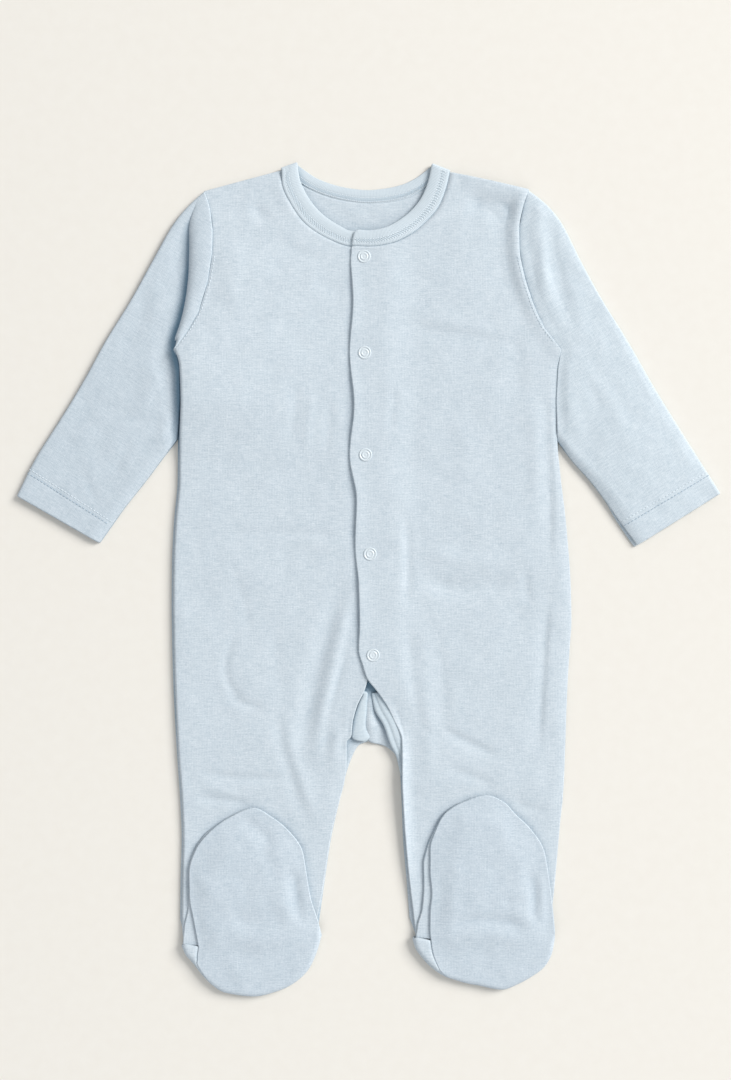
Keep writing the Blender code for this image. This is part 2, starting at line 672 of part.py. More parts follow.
def sleeve(armhole, side, fold, seam, cap_fold):
    """A sleeve: back layer, a bend along the upper edge, and a front layer over it.

    Plan points are blended between the armhole, the cuff, the fold and the seam.
    """
    inner = np.array((*armhole, *side, seam[0]), float)
    inner = inner + SEAM * np.sign(fold[-1][0]) * plan_normal(inner)
    inner_at = shares_along(inner)
    fold_line = np.array((inner[0], *fold[1:]))
    seam_line = np.array((inner[-1], *seam[1:]))
    length = np.linalg.norm(np.diff(fold_line, axis=0), axis=1).sum()
    steps = np.array(SLEEVE_STEPS)
    rest = np.linspace(steps[-1], length, int((length - steps[-1]) / SLEEVE_SPACING) + 2)[1:]
    s = np.concatenate([steps, rest]) / length
    fold_at = eased(shares_along(fold_line), fold_line, s)
    seam_at = eased(shares_along(seam_line), seam_line, s)
    width = np.linalg.norm(seam_at - fold_at, axis=1)
    v = across_sleeve(inner_at, s, width)
    flat = patch(inner, inner_at, fold_at, seam_at, s, v)
    reach = np.linalg.norm(flat - flat[:1], axis=2)
    height = SECOND - LAYER * rolled((1 - v) * width[:, None])
    below = soft_step((v - SLEEVE_TUCK_START) / SLEEVE_TUCK_FADE)
    height -= SLEEVE_TUCK * below * (1 - soft_step(reach / SLEEVE_TUCK_REACH))
    distance, rise = np.array(cap_fold).T
    height += np.interp(reach, distance, rise) * (1 - soft_step((v - CAP_FADE_START) / CAP_FADE))
    height = np.maximum(height, FIRST) + CLOTH / 2
    height[:, 0] = SECOND + CLOTH / 2
    outward = fold_at - flat[:, 0]
    outward /= np.linalg.norm(outward, axis=1, keepdims=True)
    under = with_height(flat, np.full(v.shape, CLOTH / 2))[:, ::-1]
    bend = np.stack(turned_over(flat[:, 0], outward, CLOTH / 2, SECOND + CLOTH / 2), axis=1)
    return np.concatenate([under, bend, with_height(flat, height)], axis=1)


def across_sleeve(inner_at, s, width):
    """Shares across a sleeve's rows: at the armhole's own points, and even from there on."""
    bend_share = (SLEEVE_BEND + CLOTH / 2) / width[:, None]
    last = 1 - near_edge(width, EDGE_STEPS)[:, ::-1]
    even = np.linspace(0.0, 1.0, len(inner_at) - len(EDGE_STEPS) + 1)[None, :-1]
    even = np.concatenate([bend_share + (last[:, :1] - bend_share) * even, last], axis=1)
    v = blend(inner_at[None, :], even, soft_step(s / SLEEVE_EVEN)[:, None])
    v[:, 0] = bend_share[:, 0]
    return v


def blend(first, last, share):
    return first + (last - first) * share


def shares_along(line):
    at = np.concatenate([[0.0], np.cumsum(np.linalg.norm(np.diff(line, axis=0), axis=1))])
    return at / at[-1]


def patch(inner, inner_at, fold_at, seam_at, s, v):
    """Plan points between four edges: the sum of both blends less the corners' blend."""
    start = np.stack([np.interp(v, inner_at, inner[:, axis]) for axis in range(2)], axis=-1)
    end = blend(fold_at[-1], seam_at[-1], v[..., None])
    share = s[:, None, None]
    across_edges = blend(fold_at[:, None], seam_at[:, None], v[..., None])
    corners = blend(blend(fold_at[0], seam_at[0], v[..., None]), end, share)
    return blend(start, end, share) + across_edges - corners


def neck_binding():
    """One strip: right front from its hidden end, over the shoulder, back, and left front."""
    right = band(NECK_FRONT_RIGHT[::-1])
    behind = band(NECK_BACK)
    left = band(NECK_FRONT_LEFT)
    lift = lap_lift(left[:, 0, 0], left[:, 0, 1]) * (BAND + GAP) / LAYER
    low = BAND / 2
    high = SECOND + BAND / 2
    parts = [with_height(right, np.full(right.shape[:2], high))]
    outward = away_from(right[-1], right[0].mean(axis=0))
    parts.append(np.array(turned_over(right[-1], outward, low, high))[::-1])
    parts.append(with_height(behind, np.full(behind.shape[:2], low)))
    outward = away_from(left[0], left[-1].mean(axis=0))
    parts.append(np.array(turned_over(left[0], outward, low, high)))
    parts.append(with_height(left, np.repeat(high + lift[:, None], left.shape[1], axis=1)))
    return np.concatenate(parts)


def band(table):
    """Plan points across the neck strip, from the hole's edge to just short of the seam."""
    rows = stations(table, BAND_SPACING)
    hole, seam = rows[:, 0:2], rows[:, 2:4]
    run = seam - hole
    width = np.linalg.norm(run, axis=1)
    share = ((width - SEAM) / width)[:, None] * np.linspace(0.0, 1.0, BAND_COLUMNS)
    return hole[:, None] + run[:, None] * share[..., None]


def strip(table, lift):
    """A flat strip between two edges."""
    rows = stations(table, STRIP_SPACING)
    across = np.linspace(0.0, 1.0, STRIP_COLUMNS)[None, :, None]
    plan = blend(rows[:, None, 0:2], rows[:, None, 2:4], across)
    return with_height(plan, np.full(plan.shape[:2], lift + CLOTH / 2))


def build_mesh(name, points, faces, material):
    """A mesh object from millimetre points and faces that may repeat a point."""
    corners = []
    for face in faces:
        kept = [index for place, index in enumerate(face) if index != face[place - 1]]
        if len(kept) > 2:
            corners.append(kept)
    mesh = bpy.data.meshes.new(name)
    mesh.from_pydata((points * MM).tolist(), [], corners)
    mesh.materials.append(material)
    mesh.shade_smooth()
    mesh.set_sharp_from_angle(angle=SHARP_ANGLE)
    made = bpy.data.objects.new(name, mesh)
    bpy.context.scene.collection.objects.link(made)
    return made


def cloth(name, grids, thickness, material):
    """A closed wall of even thickness about grids of middle points, welded where they meet."""
    quads = []
    start = 0
    for grid in grids:
        index = start + np.arange(grid.shape[0] * grid.shape[1]).reshape(grid.shape[:2])
        ring = (index[:-1, :-1], index[1:, :-1], index[1:, 1:], index[:-1, 1:])
        quads.append(np.stack(ring, axis=-1).reshape(-1, 4))
        start += index.size
    points = np.concatenate([grid.reshape(-1, 3) for grid in grids])
    quads = np.concatenate(quads)
    _, first, weld = np.unique(np.round(points, 3), axis=0, return_index=True, return_inverse=True)
    points, quads = points[first], weld.reshape(-1)[quads]

    across = points[quads[:, 2]] - points[quads[:, 0]]
    square = np.cross(across, points[quads[:, 3]] - points[quads[:, 1]])
    normal = np.zeros_like(points)
    for corner in range(4):
        np.add.at(normal, quads[:, corner], square)
    normal /= np.linalg.norm(normal, axis=1, keepdims=True)
    wall = np.concatenate([points + normal * thickness / 2, points - normal * thickness / 2])

    edges = np.concatenate([quads[:, (a, (a + 1) % 4)] for a in range(4)])
    edges = edges[edges[:, 0] != edges[:, 1]]
    known = {tuple(edge) for edge in edges.tolist()}
    rim = np.array([edge for edge in known if edge[::-1] not in known])
    count = len(points)
    sides = np.stack([rim[:, 1], rim[:, 0], rim[:, 0] + count, rim[:, 1] + count], axis=1)
    faces = np.concatenate([quads, quads[:, ::-1] + count, sides])
    return build_mesh(name, wall, faces.tolist(), material)


def snap(name, centre, material):
    """A ring snap: its profile turned about an upright axis."""
    turn = np.linspace(0.0, 2 * np.pi, SNAP_SIDES, endpoint=False)
    profile = np.array(SNAP_PROFILE)
    radius = profile[1:-1, 0] * SNAP_RADIUS
    base = THIRD + CLOTH + GAP
    rings = np.stack([
        centre[0] + radius[:, None] * np.cos(turn),
        centre[1] + radius[:, None] * np.sin(turn),
        base + profile[1:-1, 1, None] * np.ones(SNAP_SIDES),
    ], axis=-1)
    poles = [(*centre, base + profile[0, 1]), (*centre, base + profile[-1, 1])]
    points = np.concatenate([poles[:1], rings.reshape(-1, 3), poles[1:]])
    index = 1 + np.arange(rings.shape[0] * SNAP_SIDES).reshape(-1, SNAP_SIDES)
    after = np.roll(index, -1, axis=1)
    walls = np.stack([index[:-1], after[:-1], after[1:], index[1:]], axis=-1).reshape(-1, 4)
    under = np.stack([np.zeros(SNAP_SIDES, int), after[0], index[0]], axis=-1)
    over = np.stack([index[-1], after[-1], np.full(SNAP_SIDES, len(points) - 1)], axis=-1)
    return build_mesh(name, points, [*walls.tolist(), *under.tolist(), *over.tolist()], material)


def centre_on_ground(made):
    """Moves every mesh alike, so that the whole lies on z = 0 with its middle at the origin."""
    corners = np.array([tuple(vertex.co) for piece in made for vertex in piece.data.vertices])
    low, high = corners.min(axis=0), corners.max(axis=0)
    shift = -np.array([(low[0] + high[0]) / 2, (low[1] + high[1]) / 2, low[2]])
    for piece in made:
        shaped = bmesh.new()
        shaped.from_mesh(piece.data)
        bmesh.ops.translate(shaped, vec=shift, verts=shaped.verts)
        shaped.to_mesh(piece.data)
        shaped.free()


def main():
    clear_scene()
    body = finish("body_knit", (0.66, 0.75, 0.83), 0.85)
    arm = finish("sleeve_knit", (0.63, 0.72, 0.80), 0.85)
    foot = finish("sole_knit", (0.60, 0.69, 0.78), 0.85)
    neck = finish("neck_rib", (0.64, 0.73, 0.81), 0.8)
    tape = finish("placket_tape", (0.66, 0.75, 0.83), 0.8)
    cap = finish("snap_cap", (0.78, 0.84, 0.89), 0.35)
    halves = back()
    right_front = front(NECK_FRONT_RIGHT, ARMHOLE_RIGHT, FRONT_RIGHT, UPPER_RIGHT,
                        FOLDS_RIGHT, EDGE_STEPS, RIGHT_INNER, False)
    left_front = front(NECK_FRONT_LEFT, ARMHOLE_LEFT, FRONT_LEFT, UPPER_LEFT,
                       FOLDS_LEFT, LAP_STEPS, LEFT_INNER, True)
    right_sleeve = sleeve(ARMHOLE_RIGHT, SLEEVE_RIGHT_SIDE, SLEEVE_RIGHT_FOLD,
                          SLEEVE_RIGHT_SEAM, CAP_FOLD)
    left_sleeve = sleeve(ARMHOLE_LEFT, SLEEVE_LEFT_SIDE, SLEEVE_LEFT_FOLD,
                         SLEEVE_LEFT_SEAM, NO_FOLD)
    pieces = (
        ("back", halves, CLOTH, body),
        ("front_right", [right_front], CLOTH, body),
        ("front_left", [left_front], CLOTH, body),
        ("sleeve_right", [right_sleeve], CLOTH, arm),
        ("sleeve_left", [left_sleeve], CLOTH, arm),
        ("neck_binding", [neck_binding()], BAND, neck),
        ("placket_stand", [strip(STAND, FIRST)], CLOTH, tape),
        ("inseam_facing", [strip(FACING, FIRST)], CLOTH, tape),
        ("sole_right", [sole(halves[0], SOLE_RIGHT)], CLOTH, foot),
        ("sole_left", [sole(halves[1][:, ::-1], SOLE_LEFT)], CLOTH, foot),
    )
    made = [cloth(*piece) for piece in pieces]
    for number, centre in enumerate(SNAPS, start=1):
        made.append(snap(f"snap_{number}", centre, cap))
    centre_on_ground(made)


main()
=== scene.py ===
import math

import bpy
import numpy as np
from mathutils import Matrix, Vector


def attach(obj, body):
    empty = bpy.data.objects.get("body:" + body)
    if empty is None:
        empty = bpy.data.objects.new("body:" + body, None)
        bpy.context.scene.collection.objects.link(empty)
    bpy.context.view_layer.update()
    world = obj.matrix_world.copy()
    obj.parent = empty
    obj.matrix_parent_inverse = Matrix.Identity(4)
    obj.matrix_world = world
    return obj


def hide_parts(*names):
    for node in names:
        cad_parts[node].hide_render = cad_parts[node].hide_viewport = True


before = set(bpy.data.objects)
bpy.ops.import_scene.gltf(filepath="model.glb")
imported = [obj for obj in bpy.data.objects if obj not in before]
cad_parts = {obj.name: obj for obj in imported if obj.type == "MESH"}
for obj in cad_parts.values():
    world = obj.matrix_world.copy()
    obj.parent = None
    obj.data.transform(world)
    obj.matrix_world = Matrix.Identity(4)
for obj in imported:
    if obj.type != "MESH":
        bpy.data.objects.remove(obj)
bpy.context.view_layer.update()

# A footed baby sleepsuit that lies on its back. Tables are in millimetres, +Y towards the
# neck, and right and left are the wearer's. SHIFT brings a table's plan to the frame.
MM = 0.001
SHIFT = np.array([0.01, -0.539, 0])

# Thicknesses of the cloth and the neck strip, gaps between layers and at seams, then heights:
# the undersides of the layers over the back and of the feet's tops, the middle of the soles'
# cloth, and the floor.
CLOTH = 1.2
BAND = 1.3
GAP = 0.3
SEAM = 0.5
LAYER = CLOTH + GAP
FIRST = LAYER
SECOND = 2 * LAYER
THIRD = 3 * LAYER
UPPER = FIRST + GAP + LAYER
SOLE_MID = UPPER + LAYER + CLOTH / 2
FLOOR_LOW = -0.2
# A wall's rim: its bulge over its thickness. Points that agree to these decimals are one.
RIM_BULGE = 0.45
WELD_DECIMALS = 3

# Distances between the rows and columns of the cloth, and at its edges and folds.
ROW = 1.7
COLUMN = 1.75
BACK_SPACING = 2.6
SLEEVE_ROW = 1.7
BAND_ROW = 1.5
EDGE_ROUND = 8.0
EDGE_STEPS = (0, 0.3, 0.7, 1.2, 1.9, 2.8, 4, 5.8, EDGE_ROUND)
EDGE_SHARE = 0.4
FOLD_ANGLES = np.radians(np.linspace(0, 180, 9)[1:-1])

# The left front's lap over the right one, and its spring between the snaps.
LAP_FLAT = 21.0
LAP_FADE = 24.0
LAP_ROWS = 12
LAP_END = -98.0
LAP_END_FADE = 26.0
LAP_SPRING = 0.6
LAP_SPRING_WIDTH = 5.0
SNAP_REST = 22.0
SNAP_DIMPLE = 0.45
SNAP_DIMPLE_WIDTH = 7.0
NECK_END_FADE = 2.0
CALM_START = 13.0
CALM_FADE = 12.0

# Heels and soles.
HEEL_REACH = 3.0
HEEL_RISE = (SOLE_MID - CLOTH / 2) / 2
HEEL_MID = CLOTH / 2 + HEEL_RISE
HEEL_SETBACK = np.radians(12)
HEEL_ROWS = 14
HEEL_FLAT_ROWS = 8
HEEL_STEPS = (0, 0.15, 0.8)
HEEL_EVEN = 5
HEEL_LINE = -238.0
HEEL_FADE = 22.0
HEEL_SINK = 0.8
SOLE_CROWN = 1.5
SOLE_SOFT = 22.0
SOLE_RINGS = (0, 0.3, 0.8, 1.5, 2.2, 3)
SOLE_SPACING = 1.8
SOLE_RING_STEP = 2.2
RIM_EVEN = 9

# Uneven waves: (seed, longest, shortest, how many).
WANDER_HIGH = 0.29
WAVES_RIGHT = (11, 95, 14, 12)
WAVES_LEFT = (12, 95, 14, 12)
WAVES_SLEEVE_RIGHT = (21, 80, 13, 12)
WAVES_SLEEVE_LEFT = (22, 80, 13, 12)
WAVES_SOLE_RIGHT = (31, 70, 12, 10)
WAVES_SOLE_LEFT = (32, 70, 12, 10)
WAVE_SWAY = 1 / 4
WAVE_SWAY_LENGTH = 1.7
WAVE_FALL = 0.7

# Neck seam: (hole_x, hole_y, seam_x, seam_y), from the shoulder to the front edge.
NECK_FRONT_RIGHT = (
    (-48.9, 284, -59.5, 280.2), (-48.6, 280, -59.5, 276), (-47.9, 275.5, -59.3, 271.6),
    (-41.4, 261.1, -53.5, 257.3), (-32, 250, -42.5, 242.6), (-20.2, 242, -27, 232.8),
    (-12, 238.4, -13.5, 228.2), (1, 237.9, 1.5, 227.4),
)
NECK_FRONT_LEFT = (
    (43.4, 283.2, 55.4, 278.5), (41.9, 275.5, 53.5, 269.8), (37.1, 262.5, 48, 255.5),
    (30.8, 253.9, 39.5, 245.3), (22.9, 246.8, 29, 236.4), (11.3, 240.3, 13.5, 229.4),
    (0.6, 238.3, 1, 227.6), (-9.5, 239, -11.3, 228.1),
)
# The same seam on the back, from the right shoulder to the left one.
NECK_BACK = (
    (-48.9, 284, -59.5, 280.2), (-42.6, 279.4, -50, 273.5), (-35.9, 275.1, -41, 267.9),
    (-23.4, 270.4, -26.5, 262.1), (-12.4, 268, -13.5, 259.2), (-0.3, 266.9, -0.3, 257.7),
    (11.3, 268, 12, 258.5), (22.9, 270.6, 25, 261), (32.5, 275.1, 37, 267),
    (38.2, 279.2, 45, 272.5), (43.4, 283.2, 55.4, 278.5),
)
# Armholes, from the shoulder point to the underarm, and on down the right side: (x, y).
ARMHOLE_RIGHT = (
    (-112.5, 265.9), (-110.2, 260.2), (-108.2, 253.6), (-106.2, 238), (-106.6, 222), (-109.5, 203),
    (-115.9, 181.6), (-123.5, 168.1), (-131.6, 157),
)
ARMHOLE_LEFT = (
    (109.4, 266.9), (105.7, 256.7), (102.6, 240), (102.9, 226), (105.5, 211), (110, 195.5),
    (114.8, 182.8), (120.2, 171.9), (131.5, 157.5),
)
ARMHOLE_RIGHT_END = ((-128.7, 146), (-127.9, 122.9), (-129, 78))
# Fronts below the neck: (side_x, side_y, edge_x, edge_y, side_lift, mid_lift, edge_lift).
FRONT_RIGHT = (
    (-131.6, 157, 3, 203, 3, 3, 3), (-128.7, 146, 3.5, 177, 3, 3, 3),
    (-127.9, 122.9, 4.4, 139, 3, 3, 3), (-129, 95.6, 4, 103, 3, 3, 3),
    (-129.1, 68.2, 4.5, 70, 2.9, 3, 3), (-131.5, 40.9, 6.5, 41, 2.8, 3, 3),
    (-132.9, 13.5, 6, 13.5, 2.8, 3, 3), (-133.2, -13.9, 8.2, -13.9, 2.8, 3, 3),
    (-132.9, -41.2, 7, -43, 2.8, 3, 3), (-132.6, -57, 4, -57.5, 2.8, 3, 3),
    (-132.2, -68.6, -0.6, -67.5, 2.8, 3, 3.2), (-131.9, -76, -3.4, -76, 2.8, 3, 3.4),
    (-131.5, -86, -8.2, -86, 2.8, 3, 3.5), (-131, -97, -11.4, -98, 2.8, 3, 3.5),
    (-130.5, -106, -12.3, -107, 2.8, 3, 3.4), (-130.2, -111, -15.4, -110.6, 2.8, 3, 3.2),
    (-129.5, -123.3, -15.6, -126, 2.7, 2.8, 2.4), (-128.4, -137, -17, -138, 2.6, 2.6, 2),
    (-127.4, -150.7, -20.2, -150.7, 2.5, 2.4, 1.9), (-126.4, -178, -26.6, -178, 2.4, 2, 1.8),
    (-127, -205.4, -30.7, -205.4, 2.4, 1.8, 1.8), (-127.3, -232.7, -34.9, -228, 2.3, 1.8, 1.8),
    (-126.6, -249.2, -39, -249.6, 1.8, 1.8, 1.8),
)
FRONT_LEFT = (
    (131.5, 157.5, -12, 217.3, 3, 3, 3), (129.2, 145, -10.3, 190, 2.6, 3, 3),
    (128.2, 122.9, -12.7, 155.8, 2.3, 3, 3), (128.9, 95.6, -9.6, 119.5, 1.8, 3, 3),
    (131.3, 68.2, -12.7, 85.3, 2.1, 3, 3), (133.8, 48, -7.9, 54.5, 2.1, 3, 3),
    (135.8, 27.2, -8.9, 23.8, 2.1, 3, 3), (137.8, -0.2, -6.5, -3, 2.1, 3, 3),
    (138.5, -27.5, -5.8, -31, 2.1, 3, 3), (137.2, -48, -6.5, -48.1, 2.1, 3, 3),
    (136.6, -58, -3.6, -58.5, 2.1, 3, 3), (136, -68, -1, -66.5, 2.1, 3, 3),
    (135.6, -77, 6.5, -76.5, 2.1, 3, 3), (135.2, -86, 12.7, -85.7, 2.1, 3, 3.3),
    (134.8, -97, 17.8, -96.3, 2.1, 3, 3.6), (134.4, -109.6, 23, -109.5, 2.1, 3, 4.5),
    (133.9, -123.3, 23.2, -123.3, 2.1, 3, 5.4), (133.4, -137, 23.2, -137, 2.1, 3, 5.5),
    (132.5, -150.7, 23.8, -150.7, 1.9, 2.4, 5.2), (131, -165, 24.6, -165, 1.5, 1.9, 4.6),
    (128.6, -191.7, 26.8, -191.7, 1.5, 1.8, 3.7), (126.8, -212, 29, -212, 1.5, 1.8, 2.6),
    (124.9, -230, 31.2, -230, 1.5, 1.8, 2), (123.8, -249, 32.8, -244.2, 1.8, 1.8, 1.8),
)
# Lifts of the panel's first rows at the shoulder.
SHOULDER_RIGHT = (1.5, 2.3, 3)
SHOULDER_LEFT = (2.4, 2.8, 3)
# How far a front's side turns down: (y, drop), and the turn's section.
WALL_RIGHT = (
    (-262, 0), (-245, 0.3), (-232, 1), (-150, 1.2), (-100, 1.4), (60, 1.4), (78, 1.5), (90, 2.5),
    (102, 4.1), (123, 6.6), (146, 7.5), (152, 6.6), (158, 0), (300, 0),
)
WALL_LEFT = ((-300, 0), (300, 0))
WALL_SECTION = ((0, 1), (0.15, 0.6), (0.3, 0.32), (0.7, 0.08), (1.2, 0.02), (1.9, 0))
# Foot uppers from the ankle fold to the toe: (outer_x, outer_y, inner_x, inner_y).
UPPER_RIGHT = (
    (-126.6, -249.2, -39, -249.6), (-125.4, -236, -39, -234.5), (-123, -225, -40.2, -221),
    (-122.2, -210.8, -42.9, -208), (-122.2, -198.2, -44.9, -196), (-119.6, -187, -48.4, -184.5),
    (-113.6, -176.7, -54.9, -175.2), (-104, -168.4, -64, -167.2), (-93, -163.2, -71, -162),
    (-84, -159.2, -75.5, -158.8),
)
UPPER_LEFT = (
    (123.8, -249, 32.8, -244.2), (123.4, -236, 34.2, -235), (122.8, -222, 37, -225),
    (121.6, -208, 38.2, -209), (120, -195, 38, -195), (116, -183, 40.2, -184),
    (108.6, -171.5, 44.6, -173.5), (100.5, -163, 51, -163), (91, -156, 61, -156),
    (84.5, -151.6, 74, -151.6),
)
# Back: (right_x, right_y, right_inner_x, right_inner_y, left_inner_x, left_inner_y,
# left_x, left_y). The two inner edges run together down the centre, as far as the crotch.
CENTRE = -0.3
BACK_YOKE = (
    (-112.5, 265.9, -59.5, 280.2, 55.4, 278.5, 109.4, 266.9),
    (-108.2, 253.6, -50, 273.5, 45, 272.5, 105.7, 256.7),
    (-106.2, 238, -41, 267.9, 37, 267, 102.6, 240),
    (-106.6, 222, -26.5, 262.1, 25, 261, 102.9, 226),
    (-109.5, 203, -13.5, 259.2, 12, 258.5, 105.5, 211),
    (-115.9, 181.6, CENTRE, 257.7, CENTRE, 257.7, 112, 190),
    (-123.5, 168.1, CENTRE, 228, CENTRE, 228, 120.2, 171.9),
)
BACK = (
    (-131.6, 157, CENTRE, 195, CENTRE, 195, 131.5, 157.5),
    (-128.9, 146.2, CENTRE, 165, CENTRE, 165, 128.7, 144.5),
    (-128.9, 122.9, CENTRE, 130, CENTRE, 130, 127.7, 122.9),
    (-130.3, 95.6, CENTRE, 97, CENTRE, 97, 128.4, 95.6),
    (-130.6, 68.2, CENTRE, 68.2, CENTRE, 68.2, 130.8, 68.2),
    (-133, 40.9, CENTRE, 40.9, CENTRE, 40.9, 134.2, 40.9),
    (-134.4, 13.5, CENTRE, 13.5, CENTRE, 13.5, 136.4, 13.5),
    (-134.7, -13.9, CENTRE, -13.9, CENTRE, -13.9, 137.5, -13.9),
    (-134.4, -41.2, CENTRE, -41.2, CENTRE, -41.2, 137.2, -41.2),
    (-133.7, -68.6, CENTRE, -68.6, CENTRE, -68.6, 135.6, -68.6),
    (-132.4, -95.9, CENTRE, -95.9, CENTRE, -95.9, 134.3, -95.9),
    (-131.7, -109.6, CENTRE, -109.6, CENTRE, -109.6, 133.9, -109.6),
    (-131.2, -117, -7.2, -113.5, 12, -114.2, 133.6, -117),
    (-130.5, -128, -13.4, -125.5, 19.4, -121, 133.2, -127),
    (-129.6, -140, -17.2, -138, 22.2, -133, 132.7, -139),
    (-128.9, -150.7, -20.2, -150.7, 23.2, -150.7, 132, -150.7),
    (-127.9, -178, -26.3, -178, 24.2, -178, 129.6, -178),
    (-128.6, -205.4, -30.4, -205.4, 26.5, -205.4, 127, -205.4),
    (-128.9, -232.7, -33.9, -230, 28.6, -232, 124.8, -230),
)
# Heels, from the side edge round to the inner edge: (out_x, out_y, seam_x, seam_y).
HEEL_RIGHT = (
    (-128.2, -250.6, -116.4, -250.8), (-125.2, -257, -117.2, -256.8), (-119.9, -263, -117, -262.2),
    (-113.6, -271, -112.8, -270), (-106.5, -277.9, -106.5, -277.9), (-97.5, -282.7, -97.5, -282.7),
    (-78.3, -285.1, -78.3, -285.1), (-62.6, -281.6, -62.6, -281.6), (-51, -276, -51, -276),
    (-41, -266.4, -41, -266.4), (-35.2, -253.9, -35.2, -253.9), (-32.2, -243.5, -32.2, -243.5),
)
HEEL_LEFT = (
    (127.2, -246.5, 127.2, -246.5), (125.5, -255.3, 125.5, -255.3), (120.5, -264.6, 120.5, -264.6),
    (111.5, -271.6, 111.5, -271.6), (101, -277.2, 101, -277.2), (91.5, -280.5, 91.5, -280.5),
    (75, -277.6, 75, -277.6), (60, -274.3, 60, -274.3), (51.8, -271.4, 52.6, -270.6),
    (43.5, -266, 48, -265), (36.5, -258.8, 45, -259), (31.8, -252, 43.2, -253),
    (29.9, -245.6, 42.3, -246.7),
)
# Soles round the toe, from the heel seam's inner end to its outer end: (x, y).
SOLE_RIGHT = (
    (-34.8, -233), (-40, -217), (-42.9, -200), (-45.6, -185), (-54.5, -172), (-66, -162.5),
    (-78.5, -156.2), (-94.6, -162.5), (-107.8, -172), (-118, -185), (-122.2, -200), (-121.8, -217),
    (-119, -233),
)
SOLE_LEFT = (
    (42.2, -240), (42.4, -227), (43.6, -214), (42.4, -199), (42.4, -184), (46.6, -170),
    (52.3, -160), (65, -152), (80.7, -147.6), (92, -152), (99.6, -160), (109.9, -170), (119, -184),
    (122.1, -199), (124.1, -214), (125.8, -229), (126.9, -241),
)
# Sleeves: the folded upper edge and the seamed lower edge, from the body to the cuff, and the
# body's side below the underarm, which the sleeve lies against.
SLEEVE_RIGHT_FOLD = (
    (-112.5, 265.9), (-121.4, 258.4), (-132.4, 246.1), (-148.1, 218.7), (-163.1, 191.3),
    (-180.2, 164), (-195.3, 136.6), (-211.7, 109.3), (-228.8, 81.9), (-240.9, 57.8),
)
SLEEVE_RIGHT_SEAM = (
    (-130.9, 96.5), (-142.6, 81.9), (-152.9, 68.2), (-163.8, 54.5), (-174.1, 40.9), (-185, 25.8),
)
SLEEVE_RIGHT_SIDE = ((-129.2, 146.2), (-128.9, 122.9))
SLEEVE_LEFT_FOLD = (
    (109.4, 266.9), (122.5, 257), (131.7, 246.1), (145.4, 218.7), (160.4, 191.3), (177.5, 164),
    (193.2, 136.6), (209.6, 109.3), (226.7, 81.9), (240.9, 59.6),
)
SLEEVE_LEFT_SEAM = (
    (129.2, 95.6), (139.9, 81.9), (152.9, 67.2), (162.5, 54.5), (172, 40.9), (184.3, 24.1),
)
SLEEVE_LEFT_SIDE = ((129.4, 145), (128.2, 122.9))
# Strips in the crotch opening: (side_x, side_y, edge_x, edge_y, side_lift, edge_lift), and
# their sections: (share across, rise).
STAND = (
    (-9.5, 225.5, 3, 225.5, 1.5, 1.5), (-10, 100, 3, 100, 1.5, 1.5), (-9, 0, 4, 0, 1.5, 1.5),
    (-12, -50, 1.5, -50, 1.5, 1.5), (-12, -66, -3.4, -66, 1.5, 1.5),
    (-12, -75.6, -4.8, -75, 1.5, 1.5), (-3.8, -78.6, -0.8, -78, 1.9, 1.8),
    (-6.2, -84, -0.9, -84, 1.8, 1.5), (-9.2, -92, -1.2, -93, 1.7, 1.5),
    (-11, -101, -1.5, -101.5, 1.8, 1.6), (-11.3, -107.4, 0.4, -108, 2.1, 2),
    (-9.6, -109.4, -2.6, -110.6, 2.2, 2),
)
FACING = (
    (2.2, -78, 12, -76.6, 1.8, 1.5), (4.4, -88.5, 22, -84, 2.5, 1.5),
    (10.6, -99.5, 28, -98, 3.2, 1.5), (15.2, -112.5, 33, -112, 3.4, 1.5),
    (19.4, -121.2, 34, -123, 2.8, 1.5), (22.4, -134, 32, -136, 2.2, 1.7),
)
STRIP_SHARES = (
    0, 0.06, 0.13, 0.18, 0.22, 0.26, 0.32, 0.42, 0.52, 0.62, 0.7, 0.76, 0.81, 0.85, 0.89, 0.93,
    0.97, 1,
)
STAND_SECTION = ((0, 0), (0.13, 0.5), (0.42, 0.8), (0.7, 0.7), (0.86, 0.4), (1, -0.1))
FACING_SECTION = ((0, 0), (0.06, 0.25), (0.14, 0.2), (0.19, 0.1), (0.26, 0.7), (0.42, 0.8), (1, 0))
# Snap centres down the placket: (x, y).
SNAPS = ((-3.1, 220.8), (-2.7, 155.1), (-2.1, 85.3), (1, 17.6), (3.1, -51.5))

